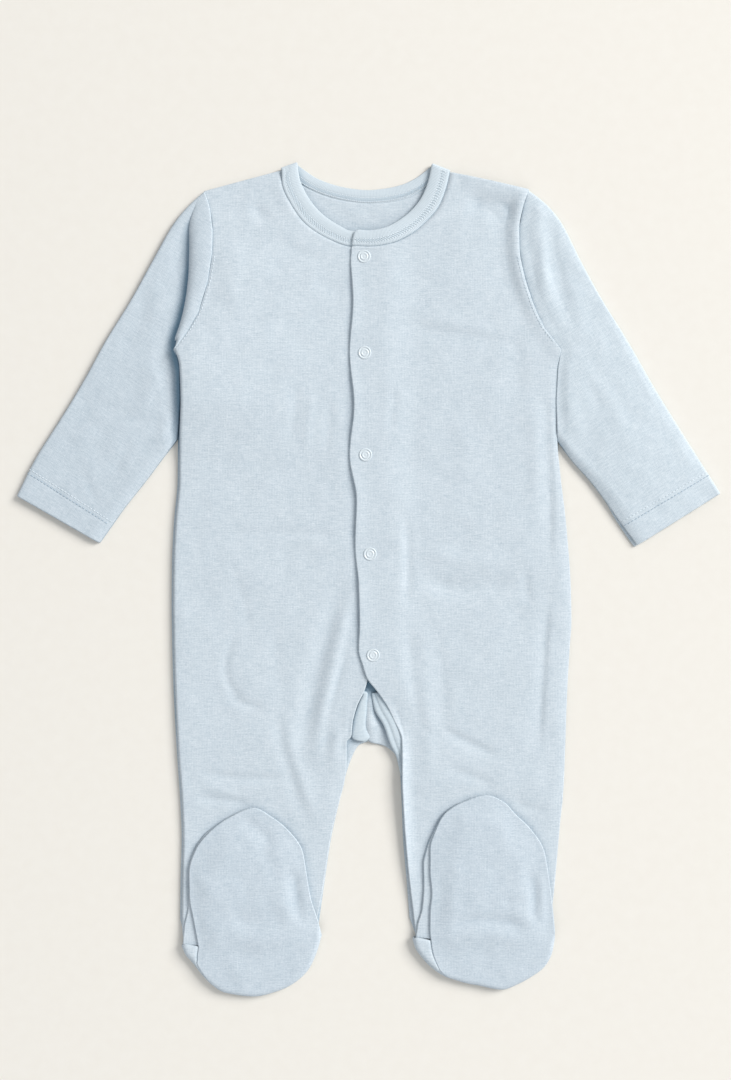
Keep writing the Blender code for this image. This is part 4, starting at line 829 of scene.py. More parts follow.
def sleeve(edge_tables, shapes, waves, cap, cuff_scale, peek):
    """A sleeve: back layer, a bend along the upper edge, and a front layer over it.

    Plan points are blended between the armhole, the cuff, the fold and the seam, then drawn
    even. cap is a line whose body side is a raised strip, with rows of the grid along it and
    an overhang. cuff_scale gives the cuff rows' distance along the fold, and the seam's share
    of that. peek is how far the back layer stands out beyond the seam at the cuff.
    """
    ridges, body_section, body_parts = shapes
    edges, underarm = sleeve_edges(*edge_tables, cuff_scale[1])
    inner, fold_line, _, _ = edges
    length = lengths_along(fold_line)[-1]
    places = [np.linspace(0, 1, count) for count in RELAX_GRID]
    even = between_edges(edges, *np.meshgrid(*places, indexing="ij"))
    shifts = relaxed(even) - even
    count = int(lengths_along(inner)[-1] / COLUMN)
    if cap:
        reach = cap_reach(edges, shifts, count, cap, underarm)
        first_rows = np.concatenate([np.array(CAP_ROWS)[:, None] * reach,
                                     reach + np.array(OVERHANG)[:, :1]])
    else:
        first_rows = every_column(SLEEVE_STEPS, count)
    cuff = length - np.array(CUFF_STEPS) * cuff_scale[0]
    rest = np.linspace(0, 1, int((cuff[0] - CAP_SEARCH / 2) / SLEEVE_ROW))[1:-1, None]
    middle = blend(first_rows[-1], cuff[0], rest)
    gone = np.concatenate([first_rows, middle, every_column(cuff, count)])
    flat, v = sleeve_plan(edges, shifts, gone / length, count)
    x, y = flat[..., 0], flat[..., 1]
    signed, share = beside(x, y, inner)
    fold_at, seam_at = along_both(edges, gone / length)
    width = np.linalg.norm(seam_at - fold_at, axis=2)
    from_seam = (1 - v) * width
    fold_calm = soft_step(v * width / EDGE_ROUND)
    side_calm = fold_calm * soft_step(from_seam / EDGE_ROUND)
    height = SECOND - LAYER * rolled(from_seam)
    height = height + fold_calm * section(np.abs(signed), body_section) * section(share, body_parts)
    detail = creases(x, y, ridges) + wander(x, y, *waves)
    height = height + detail * side_calm * soft_step(np.abs(signed) / EDGE_ROUND)
    for place in CUFF_ROWS:
        groove = np.exp(-((((length - gone) / cuff_scale[0] - place) / CUFF_GROOVE_WIDTH) ** 2))
        height = height - CUFF_GROOVE * groove * side_calm
    if cap:
        height = height + fold_calm * cap_height(gone, reach, v[0] / underarm)
    height = np.maximum(height, FIRST) + CLOTH / 2
    height[:, 0] = SECOND + CLOTH / 2
    outward = unit(fold_at[:, 0] - flat[:, 0])
    square = (seam_at - fold_at) / width[..., None]
    shown = peek * rolled(from_seam, PEEK_WIDE) * soft_step(1 - (length - gone) / PEEK_LONG)
    under = with_height(flat + square * shown[..., None], CLOTH / 2)[:, ::-1]
    bend = turned_over(flat[:, 0], outward, CLOTH / 2, SECOND + CLOTH / 2).transpose(1, 0, 2)
    return np.concatenate([under, bend, with_height(flat, height)], axis=1)


def sleeve_edges(armhole, side, fold, seam, near_share):
    """A sleeve's lines along the body, the fold and the seam, and near_cuff for along_both.

    Returns with them the underarm's share of the way along the body's line.
    """
    inner = np.array((*armhole, *side, seam[0]), float)
    inner = inner + SEAM * np.sign(fold[-1][0]) * plan_normal(inner)
    at = lengths_along(inner)
    fold_line = np.array((inner[0], *fold[1:]))
    seam_line = np.array((inner[-1], *seam[1:]))
    near_cuff = lengths_along(fold_line)[-1] / lengths_along(seam_line)[-1] * near_share
    return (inner, fold_line, seam_line, near_cuff), at[len(armhole) - 1] / at[-1]


def every_column(steps, count):
    """Rows at steps from the body, the same in the count even columns and in the closer ones."""
    return np.repeat(np.array(steps)[:, None], count + len(EDGE_STEPS), axis=1)


def cap_reach(edges, shifts, count, cap, underarm):
    """How far from the body each column crosses the raised strip's line, within limits."""
    tries = every_column(np.arange(0, CAP_SEARCH, CAP_STEP), count)
    plan, v = sleeve_plan(edges, shifts, tries / lengths_along(edges[1])[-1], count)
    across, _ = beside(plan[..., 0], plan[..., 1], smooth_line(cap, CAP_LINE_SPACING))
    crossed = evened(np.argmax(across < 0, axis=0) * CAP_STEP, CAP_EVEN)
    return np.clip(crossed, CAP_LEAST, section(v[0] / underarm, CAP_LIMIT))


def cap_height(gone, reach, along):
    """Heights of the raised strip, then of the wall that drops from it, then of the valley.

    along is each column's share of the way to the underarm.
    """
    parts, lift = section(along, CAP_PARTS), section(along, CAP_LIFT)
    tops = section(CAP_ROWS, CAP_TOP)[:, None] * parts + lift
    valley = section(np.maximum(gone - reach, 0), CAP_VALLEY) * section(along, VALLEY_PARTS)
    drop = blend(tops[-1], valley[len(tops)], np.array(OVERHANG)[:, 1:2])
    strip_rows = np.concatenate([tops, drop[:CAP_WALL_ROWS]])
    return np.concatenate([strip_rows, valley[len(strip_rows):]])


def along_both(edges, share):
    """Points on the fold and on the seam at a share of the way from the body to the cuff.

    Near the cuff the seam's point keeps near_cuff times the share of the fold's one still to
    go, so that rows there run beside the cuff's end.
    """
    _, fold_line, seam_line, near_cuff = edges
    left = np.array((0, CUFF_REACH / 2, CUFF_REACH, 1))
    seam_left = np.array((0, CUFF_REACH / 2 * near_cuff, CUFF_REACH * near_cuff, 1))
    seam_share = 1 - eased(left, seam_left[:, None], 1 - share.ravel()).reshape(share.shape)
    return shares_on(fold_line, share), shares_on(seam_line, seam_share)


def between_edges(edges, share, v):
    """The sum of the blends between opposite edges, less the corners' blend."""
    inner, fold_line, seam_line, _ = edges
    at = lengths_along(inner)
    start = points_at(inner, at / at[-1], v)
    fold_at, seam_at = along_both(edges, share)
    across, share = v[..., None], share[..., None]
    end = blend(fold_line[-1], seam_line[-1], across)
    corners = blend(blend(fold_line[0], seam_line[0], across), end, share)
    return blend(start, end, share) + blend(fold_at, seam_at, across) - corners


def relaxed(plan):
    """A plan grid drawn even, so that its lines don't cross.

    Each inner point goes to the mean of its neighbours, over and over. Neighbours along one
    direction weigh by how far apart the other direction's are, less a share of the diagonals.
    """
    plan = plan.copy()
    for _ in range(RELAX_ROUNDS):
        down = (plan[2:, 1:-1] - plan[:-2, 1:-1]) / 2
        across = (plan[1:-1, 2:] - plan[1:-1, :-2]) / 2
        heavy, wide, slant = ((first * second).sum(axis=-1, keepdims=True) for first, second in
                              ((across, across), (down, down), (down, across)))
        corners = plan[2:, 2:] - plan[2:, :-2] - plan[:-2, 2:] + plan[:-2, :-2]
        mean = heavy * (plan[2:, 1:-1] + plan[:-2, 1:-1])
        mean = mean + wide * (plan[1:-1, 2:] + plan[1:-1, :-2]) - slant * corners / 2
        plan[1:-1, 1:-1] = mean / (2 * (heavy + wide))
    return plan


def on_grid(values, share, v):
    """Values blended between the four nearest points of an even grid over shares 0 to 1."""
    row, column = share * (values.shape[0] - 1), v * (values.shape[1] - 1)
    low = np.clip(row.astype(int), 0, values.shape[0] - 2)
    left = np.clip(column.astype(int), 0, values.shape[1] - 2)
    down, across = (row - low)[..., None], (column - left)[..., None]
    first = blend(values[low, left], values[low, left + 1], across)
    return blend(first, blend(values[low + 1, left], values[low + 1, left + 1], across), down)


def sleeve_plan(edges, shifts, share, count):
    """Plan points at shares of the way from the body to the cuff, and their shares across.

    Rows are drawn straight towards the cuff.
    """
    fold_at, seam_at = along_both(edges, share[:, :1])
    width = np.linalg.norm(seam_at - fold_at, axis=2)[:, 0]
    begin = (SLEEVE_BEND + CLOTH / 2) / width[:, None]
    last = 1 - near_edge(width)[:, ::-1]
    even = begin + (last[:, :1] - begin) * np.linspace(0, 1, count + 1)[:-1]
    v = np.concatenate([even, last], axis=1)
    plan = between_edges(edges, share, v) + on_grid(shifts, share, v)
    straight = blend(*along_both(edges, share), v[..., None])
    return blend(plan, straight, soft_step((share - CUFF_STRAIGHT) / CUFF_FADE)[..., None]), v


def neck_binding():
    """One strip: right front from its hidden end, over the shoulder, back, and left front.

    Returns its grid, and the rows where its parts end.
    """
    right = band(NECK_FRONT_RIGHT[::-1])
    behind = band(NECK_BACK)
    left = band(NECK_FRONT_LEFT, BAND_CORNER)
    right_crown = section(BAND_SHARES, BAND_RIGHT_SECTION)
    left_crown = section(BAND_SHARES, BAND_LEFT_SECTION)
    lift = lap_lift(left[:, 0, 0], left[:, 0, 1]) * (BAND + GAP) / LAYER
    low = BAND / 2
    high = SECOND + BAND / 2
    right_out = away_from(right[-1], right[0].mean(axis=0))
    left_out = away_from(left[0], left[-1].mean(axis=0))
    parts = (with_height(right, high + right_crown),
             turned_over(right[-1], right_out, low, high)[::-1],
             with_height(behind, low + (np.maximum(left_crown, BAND_SINK) - BAND_SINK)),
             turned_over(left[0], left_out, low, high),
             with_height(left, high + lift[:, None] + left_crown))
    return np.concatenate(parts), np.cumsum([len(part) for part in parts])


def band(table, corner=0.0):
    """Plan points across the neck strip, from the hole's edge to just short of the seam.

    corner is the radius of a round at the last row's hole end.
    """
    rows = stations(table, BAND_ROW)
    if corner:
        steps = 1 - np.linspace(0, 1, BAND_CORNER_STEPS)[1:, None] ** 2
        start = rows[-1 - BAND_CORNER_ROWS]
        rows = np.concatenate([rows[:-BAND_CORNER_ROWS], blend(rows[-1], start, steps)])
    hole = rows[:, 0:2]
    run = rows[:, 2:4] - hole
    width = np.linalg.norm(run, axis=1)
    at = lengths_along(hole)
    near = np.clip(1 - (at[-1] - at) / max(corner, GAP), 0, 1)
    cut = corner * (1 - np.sqrt(1 - near**2))
    share = (cut / width)[:, None] + ((width - SEAM - cut) / width)[:, None] * np.array(BAND_SHARES)
    return hole[:, None] + run[:, None] * share[..., None]


def strip(table, crown):
    """A strip between two edges, each at its own height, with a section between them."""
    rows = stations(table, ROW)
    share = np.array(STRIP_SHARES)
    plan = blend(rows[:, None, 0:2], rows[:, None, 2:4], share[:, None])
    height = blend(rows[:, 4:5], rows[:, 5:6], share) + section(share, crown)
    return with_height(plan, height + CLOTH / 2)


def welded(grids):
    """Points and quads of grids that share points where they meet, and the points kept."""
    quads = []
    start = 0
    for grid in grids:
        index = start + np.arange(grid.shape[0] * grid.shape[1]).reshape(grid.shape[:2])
        ring = (index[:-1, :-1], index[1:, :-1], index[1:, 1:], index[:-1, 1:])
        quads.append(np.stack(ring, axis=-1).reshape(-1, 4))
        start += index.size
    points = np.concatenate([grid.reshape(-1, 3) for grid in grids])
    _, first, weld = np.unique(np.round(points, WELD_DECIMALS), axis=0, return_index=True,
                               return_inverse=True)
    return points[first], weld.reshape(-1)[np.concatenate(quads)], first


def smooth_normals(points, quads):
    """Unit sums, at each point, of the cross products of its faces' diagonals."""
    across = points[quads[:, 2]] - points[quads[:, 0]]
    square = np.cross(across, points[quads[:, 3]] - points[quads[:, 1]])
    normal = np.zeros_like(points)
    for corner in range(4):
        np.add.at(normal, quads[:, corner], square)
    return unit(normal)


def cloth(name, node, grids, paint, angle=0.0, thickness=CLOTH, grain=None):
    """A closed wall about grids of middle points, with a rounded rim, in place of a CAD node.

    Each point goes out and in along its normal by half the thickness, and the rim has one
    more line of points, moved outwards. The knit lies as each point does in plan, turned by
    an angle, or as grain says.
    """
    points, quads, first = welded(grids)
    if grain is None:
        turn = math.radians(angle)
        spin = np.array([[math.cos(turn), math.sin(turn)], [-math.sin(turn), math.cos(turn)]])
        place = points[:, :2] @ spin.T
    else:
        place = grain.reshape(-1, 2)[first]
    normal = smooth_normals(points, quads)
    count = len(points)
    edges = np.concatenate([quads[:, (a, (a + 1) % 4)] for a in range(4)])
    edges = edges[edges[:, 0] != edges[:, 1]]
    # The rim's edges are those that no face has the other way round.
    rim = edges[~np.isin(edges @ (count, 1), edges @ (1, count))]
    outward = np.zeros_like(points)
    out = np.cross(points[rim[:, 1]] - points[rim[:, 0]], normal[rim[:, 0]])
    for end in range(2):
        np.add.at(outward, rim[:, end], out)
    around = np.unique(rim)
    place_of = np.zeros(count, int)
    place_of[around] = 2 * count + np.arange(len(around))
    wall = np.concatenate([
        points + normal * thickness / 2,
        points - normal * thickness / 2,
        points[around] + unit(outward[around]) * thickness * RIM_BULGE,
    ])
    a, b = rim.T
    upper = np.stack([b, a, place_of[a], place_of[b]], axis=1)
    lower = np.stack([place_of[b], place_of[a], a + count, b + count], axis=1)
    faces = np.concatenate([quads, quads[:, ::-1] + count, upper, lower])
    made = mesh_piece(name, wall, faces, paint, np.concatenate([place, place, place[around]]))
    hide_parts(node)
    return made


def mesh_piece(name, points, faces, paint, spots=None):
    """A smooth mesh from millimetre points and four-cornered faces that may repeat a corner."""
    kept = faces != np.roll(faces, 1, axis=1)
    good = kept.sum(axis=1) > 2
    faces, kept = faces[good], kept[good]
    sizes, loops = kept.sum(axis=1), faces[kept]
    mesh = bpy.data.meshes.new(name)
    mesh.vertices.add(len(points))
    mesh.vertices.foreach_set("co", ((points + SHIFT) * MM).astype(np.float32).ravel())
    mesh.loops.add(len(loops))
    mesh.loops.foreach_set("vertex_index", loops.astype(np.int32))
    mesh.polygons.add(len(sizes))
    mesh.polygons.foreach_set("loop_start", running(sizes)[:-1].astype(np.int32))
    mesh.update(calc_edges=True)
    mesh.validate()
    if spots is not None:
        layer = mesh.uv_layers.new(name="grain")
        layer.data.foreach_set("uv", (spots[loops] * MM).astype(np.float32).ravel())
    mesh.polygons.foreach_set("use_smooth", np.ones(len(sizes), bool))
    mesh.materials.append(paint)
    made = bpy.data.objects.new(name, mesh)
    bpy.context.scene.collection.objects.link(made)
    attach(made, "root")
    return made


class Nodes:
    """A short way to add shader nodes to one material and join them.

    Inputs are named, with _ for a space, or numbered after an i. Each takes a value or
    another node's output.
    """

    def __init__(self, name, coordinates="Object"):
        """Start a material whose patterns lie on Object coordinates or on a named UV map."""
        self.material = bpy.data.materials.new(name)
        self.material.use_nodes = True
        self.tree = self.material.node_tree
        self.shader = self.tree.nodes["Principled BSDF"]
        if coordinates == "Object":
            self.spot = self.add("ShaderNodeTexCoord").outputs["Object"]
        else:
            self.spot = self.add("ShaderNodeUVMap", {"uv_map": coordinates}).outputs["UV"]

    def fill(self, node, inputs):
        """Set a node's inputs, or join them to outputs."""
        for key, value in inputs.items():
            socket = node.inputs[int(key[1:]) if key[1:].isdigit() else key.replace("_", " ")]
            if isinstance(value, bpy.types.NodeSocket):
                self.tree.links.new(value, socket)
            else:
                socket.default_value = value

    def add(self, kind, settings=(), **inputs):
        """A new node with its own settings and its inputs filled."""
        node = self.tree.nodes.new(kind)
        for key, value in dict(settings).items():
            setattr(node, key, value)
        self.fill(node, inputs)
        return node

    def maths(self, operation, first, second):
        """The result of one operation on two values."""
        return self.add("ShaderNodeMath", {"operation": operation}, i0=first, i1=second).outputs[0]

    def noise(self, size, detail, scale=None, **inputs):
        """Noise from 0 to 1, with scale to draw it out or pack it along each axis."""
        spot = self.spot
        if scale:
            spot = self.add("ShaderNodeMapping", Vector=spot, Scale=scale).outputs[0]
        return self.add("ShaderNodeTexNoise", Vector=spot, Scale=size, Detail=detail,
                        **inputs).outputs["Fac"]

    def mix(self, factor, first, second, kind="MIX"):
        """A colour from first to second by factor, or another kind of blend of the two."""
        return self.add("ShaderNodeMix", {"data_type": "RGBA", "blend_type": kind}, Factor=factor,
                        i6=first, i7=second).outputs[2]

    def finish(self, **inputs):
        """The material, once its shader's inputs are filled."""
        self.fill(self.shader, inputs)
        return self.material


def srgb(red, green, blue):
    """Linear colour of an 8-bit screen colour."""
    shares = np.array([red, green, blue]) / 255
    linear = np.where(shares <= 0.04045, shares / 12.92, ((shares + 0.055) / 1.055) ** 2.4)
    return (*linear.tolist(), 1.0)


def darker(colour, share):
    """A colour with its red, green and blue cut to a share of them."""
    return tuple(share * part for part in colour[:3]) + (1.0,)


# Painted shade: in the garment's hollows the knit's colour is multiplied towards this darker blue.
HOLLOW_SHADE_TINT = (0.34, 0.49, 0.6, 1.0)
# A wave texture's scale for one band in each metre.
WAVE_UNIT = 2 * math.pi / 20


def knit(name, colour, shade, rib=0.0):
    """Cotton knit: fine courses and wales, long pale slubs along the courses, soft mottling.

    colour and shade are the light and dark of the yarn. rib adds ribs along the wales. A
    point attribute multiplies the colour towards a darker blue in hollows: painted shade.
    """
    made = Nodes(name, "grain")

    def waves(per_metre, distortion):
        """Bands along the wales, this many in a metre, with their lines bent by distortion."""
        return made.add("ShaderNodeTexWave", {"bands_direction": "X"}, Vector=made.spot,
                        Scale=WAVE_UNIT * per_metre, Distortion=distortion, Detail=2.0,
                        Detail_Scale=1.2).outputs["Fac"]

    slubs = made.noise(1.0, 3.0, (140.0, 950.0, 1.0), Roughness=0.6)
    cross = made.noise(1.0, 2.0, (900.0, 150.0, 1.0), Roughness=0.6)
    fine = made.noise(1.0, 2.0, (700.0, 1500.0, 1.0), Roughness=0.6)
    cloudy = made.noise(70.0, 3.0, Roughness=0.6)
    parts = [(cross, 0.22), (fine, 0.5), (cloudy, 0.12), (waves(900, 0.6), 0.06)]
    if rib:
        parts.append((waves(950, 0.3), rib))
    total = made.maths("MULTIPLY", slubs, 0.45)
    for part, weight in parts:
        total = made.maths("ADD", total, made.maths("MULTIPLY", part, weight))
    light = made.add("ShaderNodeMapRange", {"clamp": True}, Value=total, From_Min=0.38,
                     From_Max=0.92, To_Min=0.0, To_Max=1.0).outputs[0]
    painted_shade = made.add("ShaderNodeAttribute", {"attribute_name": "painted_shade"}).outputs["Fac"]
    # Painted shade in hollows: the yarn's colour multiplied towards the darker blue by the point
    # attribute.
    colour_with_painted_shade = made.mix(painted_shade, made.mix(light, shade, colour), HOLLOW_SHADE_TINT, "MULTIPLY")
    bump = made.add("ShaderNodeBump", Strength=0.48, Distance=0.00025, Height=total)
    return made.finish(Base_Color=colour_with_painted_shade, Roughness=0.86, Normal=bump.outputs[0], Sheen_Weight=0.18,
                       Sheen_Roughness=0.45, Specular_IOR_Level=0.2)


def enamel(name, colour):
    """Slightly glossy enamelled metal with a faint unevenness."""
    made = Nodes(name)
    noise = made.noise(900.0, 2.0)
    gloss = made.add("ShaderNodeMapRange", Value=noise, To_Min=0.32, To_Max=0.42).outputs[0]
    return made.finish(Base_Color=made.mix(noise, darker(colour, 0.94), colour), Roughness=gloss,
                       Coat_Weight=0.3, Coat_Roughness=0.2)


def thread(name, colour):
    """Twisted sewing thread: fine slanted bands along its length."""
    made = Nodes(name)
    wave = made.add("ShaderNodeTexWave", {"bands_direction": "DIAGONAL"}, Vector=made.spot,
                    Scale=900.0).outputs["Fac"]
    return made.finish(Base_Color=made.mix(wave, darker(colour, 0.88), colour), Roughness=0.7,
                       Sheen_Weight=0.15)


def paper(name):
    """The pale floor, with a very fine tooth."""
    made = Nodes(name)
    noise = made.noise(120.0, 4.0)
    bump = made.add("ShaderNodeBump", Strength=0.1, Distance=0.0003, Height=noise)
    return made.finish(Base_Color=made.mix(noise, srgb(226, 222, 214), srgb(230, 227, 220)),
                       Roughness=0.9, Normal=bump.outputs[0], Specular_IOR_Level=0.2)


# Threads: a stitch is a small rounded bar, STITCH_SIDES round, with its rings' places along
# it and their sizes.
STITCH_SIDES = 6
STITCH_RINGS = ((-0.5, 0.25), (-0.4, 0.8), (-0.15, 1), (0.15, 1), (0.4, 0.8), (0.5, 0.25))


def tube(rings, sides):
    """Point numbers of rings with this many points each, those of the next points, and walls."""
    index = np.arange(rings * sides).reshape(rings, sides)
    after = np.roll(index, -1, axis=1)
    walls = np.stack([index[:-1], after[:-1], after[1:], index[1:]], axis=-1).reshape(-1, 4)
    return index, after, walls


def stitches(name, seats, length, radius, paint):
    """Bars of thread on seats of (centre, direction, normal): closed tubes along each one."""
    centres, along, over = seats
    along = unit(along)
    side = unit(np.cross(over, along))
    over = np.cross(along, side)
    turn = np.linspace(0, 2 * np.pi, STITCH_SIDES, endpoint=False)
    ring = np.cos(turn)[:, None, None] * side + np.sin(turn)[:, None, None] * over
    length = np.broadcast_to(length, len(centres))[:, None]
    rows = [centres + gone * length * along + size * radius * ring for gone, size in STITCH_RINGS]
    points = np.stack(rows).transpose(2, 0, 1, 3).reshape(len(centres), -1, 3)
    index, _, walls = tube(len(STITCH_RINGS), STITCH_SIDES)
    # Each end's hexagon is two quads.
    caps = [index[0][[0, 5, 4, 3]], index[0][[0, 3, 2, 1]],
            index[-1][[0, 1, 2, 3]], index[-1][[0, 3, 4, 5]]]
    faces = np.concatenate([walls, np.array(caps)])
    faces = (faces[None] + points.shape[1] * np.arange(len(centres))[:, None, None]).reshape(-1, 4)
    mesh_piece(name, points.reshape(-1, 3), faces, paint)


def line_on(grid, row):
    """A grid's points on a row between two others, and its normals there."""
    low = int(min(max(math.floor(row), 0), len(grid) - 2))
    line = blend(grid[low], grid[low + 1], row - low)
    return line, unit(np.cross(grid[low + 1] - grid[low], np.gradient(line, axis=0)))


def facing_up(normal):
    """Normals, with those that point down turned over."""
    return normal * np.sign(normal[:, 2:])


def seats_along(line, normal, pitch, offset):
    """Stitch seats at a pitch along a line, raised along its normals and clear of the floor."""
    at = lengths_along(line)
    wanted = pitch * (np.arange(int(at[-1] / pitch)) + 0.5)
    centre = points_at(line, at, wanted)
    up = points_at(normal, at, wanted)
    along = points_at(line, at, wanted + pitch * STITCH_AHEAD) - centre
    dip = np.abs(along[:, 2]) / np.linalg.norm(along, axis=1) * CUFF_STITCH / 2
    centre = centre + offset * up
    centre[:, 2] = np.maximum(centre[:, 2], THREAD_LOW + dip)
    return centre, along, up


def joined_seats(*groups):
    """Groups of seats as one: all their centres, all their directions, all their normals."""
    return tuple(np.concatenate(parts) for parts in zip(*groups))


body_knit = knit("body_knit", srgb(216, 224, 230), srgb(163, 179, 190))
# The sleeves are the body's cloth: the right one's knit is painted darker as shade, the left one's
# lighter as light, for how the lamps fall on each side.
right_sleeve_shaded_knit = knit("right_sleeve_shaded_knit", srgb(210, 219, 226), srgb(160, 176, 187))
left_sleeve_lit_knit = knit("left_sleeve_lit_knit", srgb(218, 227, 233), srgb(167, 183, 194))
sole_knit = knit("sole_knit", srgb(212, 221, 228), srgb(160, 176, 188))
neck_rib = knit("neck_rib", srgb(202, 213, 220), srgb(164, 180, 192), rib=0.6)
placket_tape = knit("placket_tape", srgb(206, 217, 223), srgb(172, 188, 199))
snap_enamel = enamel("snap_enamel", srgb(210, 220, 226))

right_half, left_half = back()
back_piece = cloth("back_panel", "back", [stepped(right_half), stepped(left_half)], body_knit)

shapes = (ARMHOLE_RIGHT_END, CREASES_RIGHT, FOLDS_RIGHT, SHOULDER_RIGHT, ARMHOLE_RIGHT_SECTION,
          ARMHOLE_RIGHT_PARTS, NECK_RIGHT_SECTION, WALL_RIGHT)
right_grid = front(NECK_FRONT_RIGHT, ARMHOLE_RIGHT, FRONT_RIGHT, UPPER_RIGHT, shapes, WAVES_RIGHT,
                   False)
right_front = cloth("right_front_panel", "front_right", [right_grid], body_knit)

shapes = ((), CREASES_LEFT, FOLDS_LEFT, SHOULDER_LEFT, ARMHOLE_LEFT_SECTION, ARMHOLE_LEFT_PARTS,
          NECK_LEFT_SECTION, WALL_LEFT)
left_grid = front(NECK_FRONT_LEFT, ARMHOLE_LEFT, FRONT_LEFT, UPPER_LEFT, shapes, WAVES_LEFT, True)
left_front = cloth("left_front_panel", "front_left", [left_grid], body_knit)

edges = (ARMHOLE_RIGHT, SLEEVE_RIGHT_SIDE, SLEEVE_RIGHT_FOLD, SLEEVE_RIGHT_SEAM)
shapes = (CREASES_SLEEVE_RIGHT, SLEEVE_RIGHT_SECTION, SLEEVE_RIGHT_PARTS)
right_cuff = sleeve(edges, shapes, WAVES_SLEEVE_RIGHT, CAP_CREASE, CUFF_SCALE_RIGHT, PEEK_RIGHT)
right_sleeve = cloth("right_sleeve", "sleeve_right", [right_cuff], right_sleeve_shaded_knit,
                     -SLEEVE_GRAIN)

edges = (ARMHOLE_LEFT, SLEEVE_LEFT_SIDE, SLEEVE_LEFT_FOLD, SLEEVE_LEFT_SEAM)
shapes = (CREASES_SLEEVE_LEFT, SLEEVE_LEFT_SECTION, SLEEVE_LEFT_PARTS)
left_cuff = sleeve(edges, shapes, WAVES_SLEEVE_LEFT, (), CUFF_SCALE_LEFT, PEEK_LEFT)
left_sleeve = cloth("left_sleeve", "sleeve_left", [left_cuff], left_sleeve_lit_knit,
                    SLEEVE_GRAIN)

band_grid, band_ends = neck_binding()
grain = np.stack(np.meshgrid(lengths_along(band_grid[:, -1]), np.array(BAND_SHARES) * BAND_WIDE,
                             indexing="ij"), axis=-1)
binding = cloth("neck_binding_strip", "neck_binding", [band_grid], neck_rib,
                thickness=BAND, grain=grain)
stand = cloth("placket_stand_strip", "placket_stand", [strip(STAND, STAND_SECTION)], placket_tape)
facing = cloth("inseam_facing_strip", "inseam_facing", [strip(FACING, FACING_SECTION)],
               placket_tape)
grid = sole(right_half, SOLE_RIGHT, CREASES_SOLE_RIGHT, WAVES_SOLE_RIGHT)
right_sole = cloth("right_sole", "sole_right", [grid], sole_knit)
grid = sole(left_half[:, ::-1], SOLE_LEFT, CREASES_SOLE_LEFT, WAVES_SOLE_LEFT)
left_sole = cloth("left_sole", "sole_left", [grid], sole_knit)

# Threads: twin rows round each cuff, rows and cross threads on the neck strip, and a row
# beside the lower part of each armhole.
# The threads' colours stand for light and shade: the pale one is lighter than the cloth, a painted
# highlight; the dark one is a painted shadow for the stitch grooves; the back strip's cross threads
# are a darker copy of the front ones, painted shade.
highlight_thread = thread("highlight_thread", srgb(228, 237, 243))
shaded_thread = thread("shaded_thread", srgb(166, 185, 200))
tick_thread = thread("tick_thread", srgb(204, 218, 227))
back_shaded_tick_thread = thread("back_shaded_tick_thread", srgb(192, 208, 219))
THREAD = 0.26
THREAD_SUNK = 0.1
THREAD_LOW = THREAD + FLOOR_LOW
STITCH_AHEAD = 1 / 4
TICK_LIFT = 0.1
TICK_THREAD = 0.17
CUFF_PITCH = 2.6
CUFF_STITCH = 1.9
for side, grid, turn in (("right", right_cuff, 1), ("left", left_cuff, -1)):
    # Inner rows in the pale thread, a painted highlight; outer rows in the dark thread, a painted
    # shadow.
    for name, from_end, paint in zip(("inner", "outer"), CUFF_ROWS, (highlight_thread, shaded_thread)):
        line, normal = line_on(grid, len(grid) - len(CUFF_STEPS) + CUFF_STEPS.index(from_end))
        seats = seats_along(line, normal * turn, CUFF_PITCH, CLOTH / 2 + THREAD_SUNK)
        stitches(f"{side}_cuff_{name}_stitches", seats, CUFF_STITCH, THREAD, paint)

# Neck rows: (first row, end row, shares across for both rows, pitch, its cross threads).
NECK_STITCH = 1.15
NECK_TICK = 0.85
row_groups, front_ticks, back_ticks = [], [], []
BAND_STITCHES = ((0, band_ends[0], (0.81, 0.57), 1.75, front_ticks),
                 (band_ends[1], band_ends[2], (0.9, 0.56), 1.35, back_ticks),
                 (band_ends[3], band_ends[4], (0.81, 0.57), 1.75, front_ticks))
for begin, end, places, pitch, ticks in BAND_STITCHES:
    part = band_grid[begin:end].transpose(1, 0, 2)
    lines = []
    for share in places:
        column = float(np.interp(share, BAND_SHARES, np.arange(len(BAND_SHARES))))
        line, normal = line_on(part, column)
        lines.append(seats_along(line, facing_up(normal), pitch, BAND / 2 + THREAD_SUNK))
    row_groups += lines
    count = min(len(line[0]) for line in lines)
    outer, inner = (line[0][:count] for line in lines)
    up = lines[0][2][:count]
    ticks.append(((outer + inner) / 2 + TICK_LIFT * up, inner - outer, up))
seats = joined_seats(*row_groups)
# The neck rows in the pale thread: a painted highlight.
stitches("neck_stitch_rows", seats, NECK_STITCH, THREAD, highlight_thread)
# The back strip's cross threads in the darker thread: painted shade.
for name, ticks, paint in (("neck_front_cross_threads", front_ticks, tick_thread),
                           ("neck_back_cross_threads", back_ticks, back_shaded_tick_thread)):
    seats = joined_seats(*ticks)
    length = np.linalg.norm(seats[1], axis=1) * NECK_TICK
    stitches(name, seats, length, TICK_THREAD, paint)

# A row of stitches beside the lower part of each armhole: (lowest y, highest y).
ARMHOLE_STITCHED = (160, 222)
ARMHOLE_COLUMN = 4
ARMHOLE_PITCH = 2.4
ARMHOLE_STITCH = 1.5
ARMHOLE_THREAD = 0.221
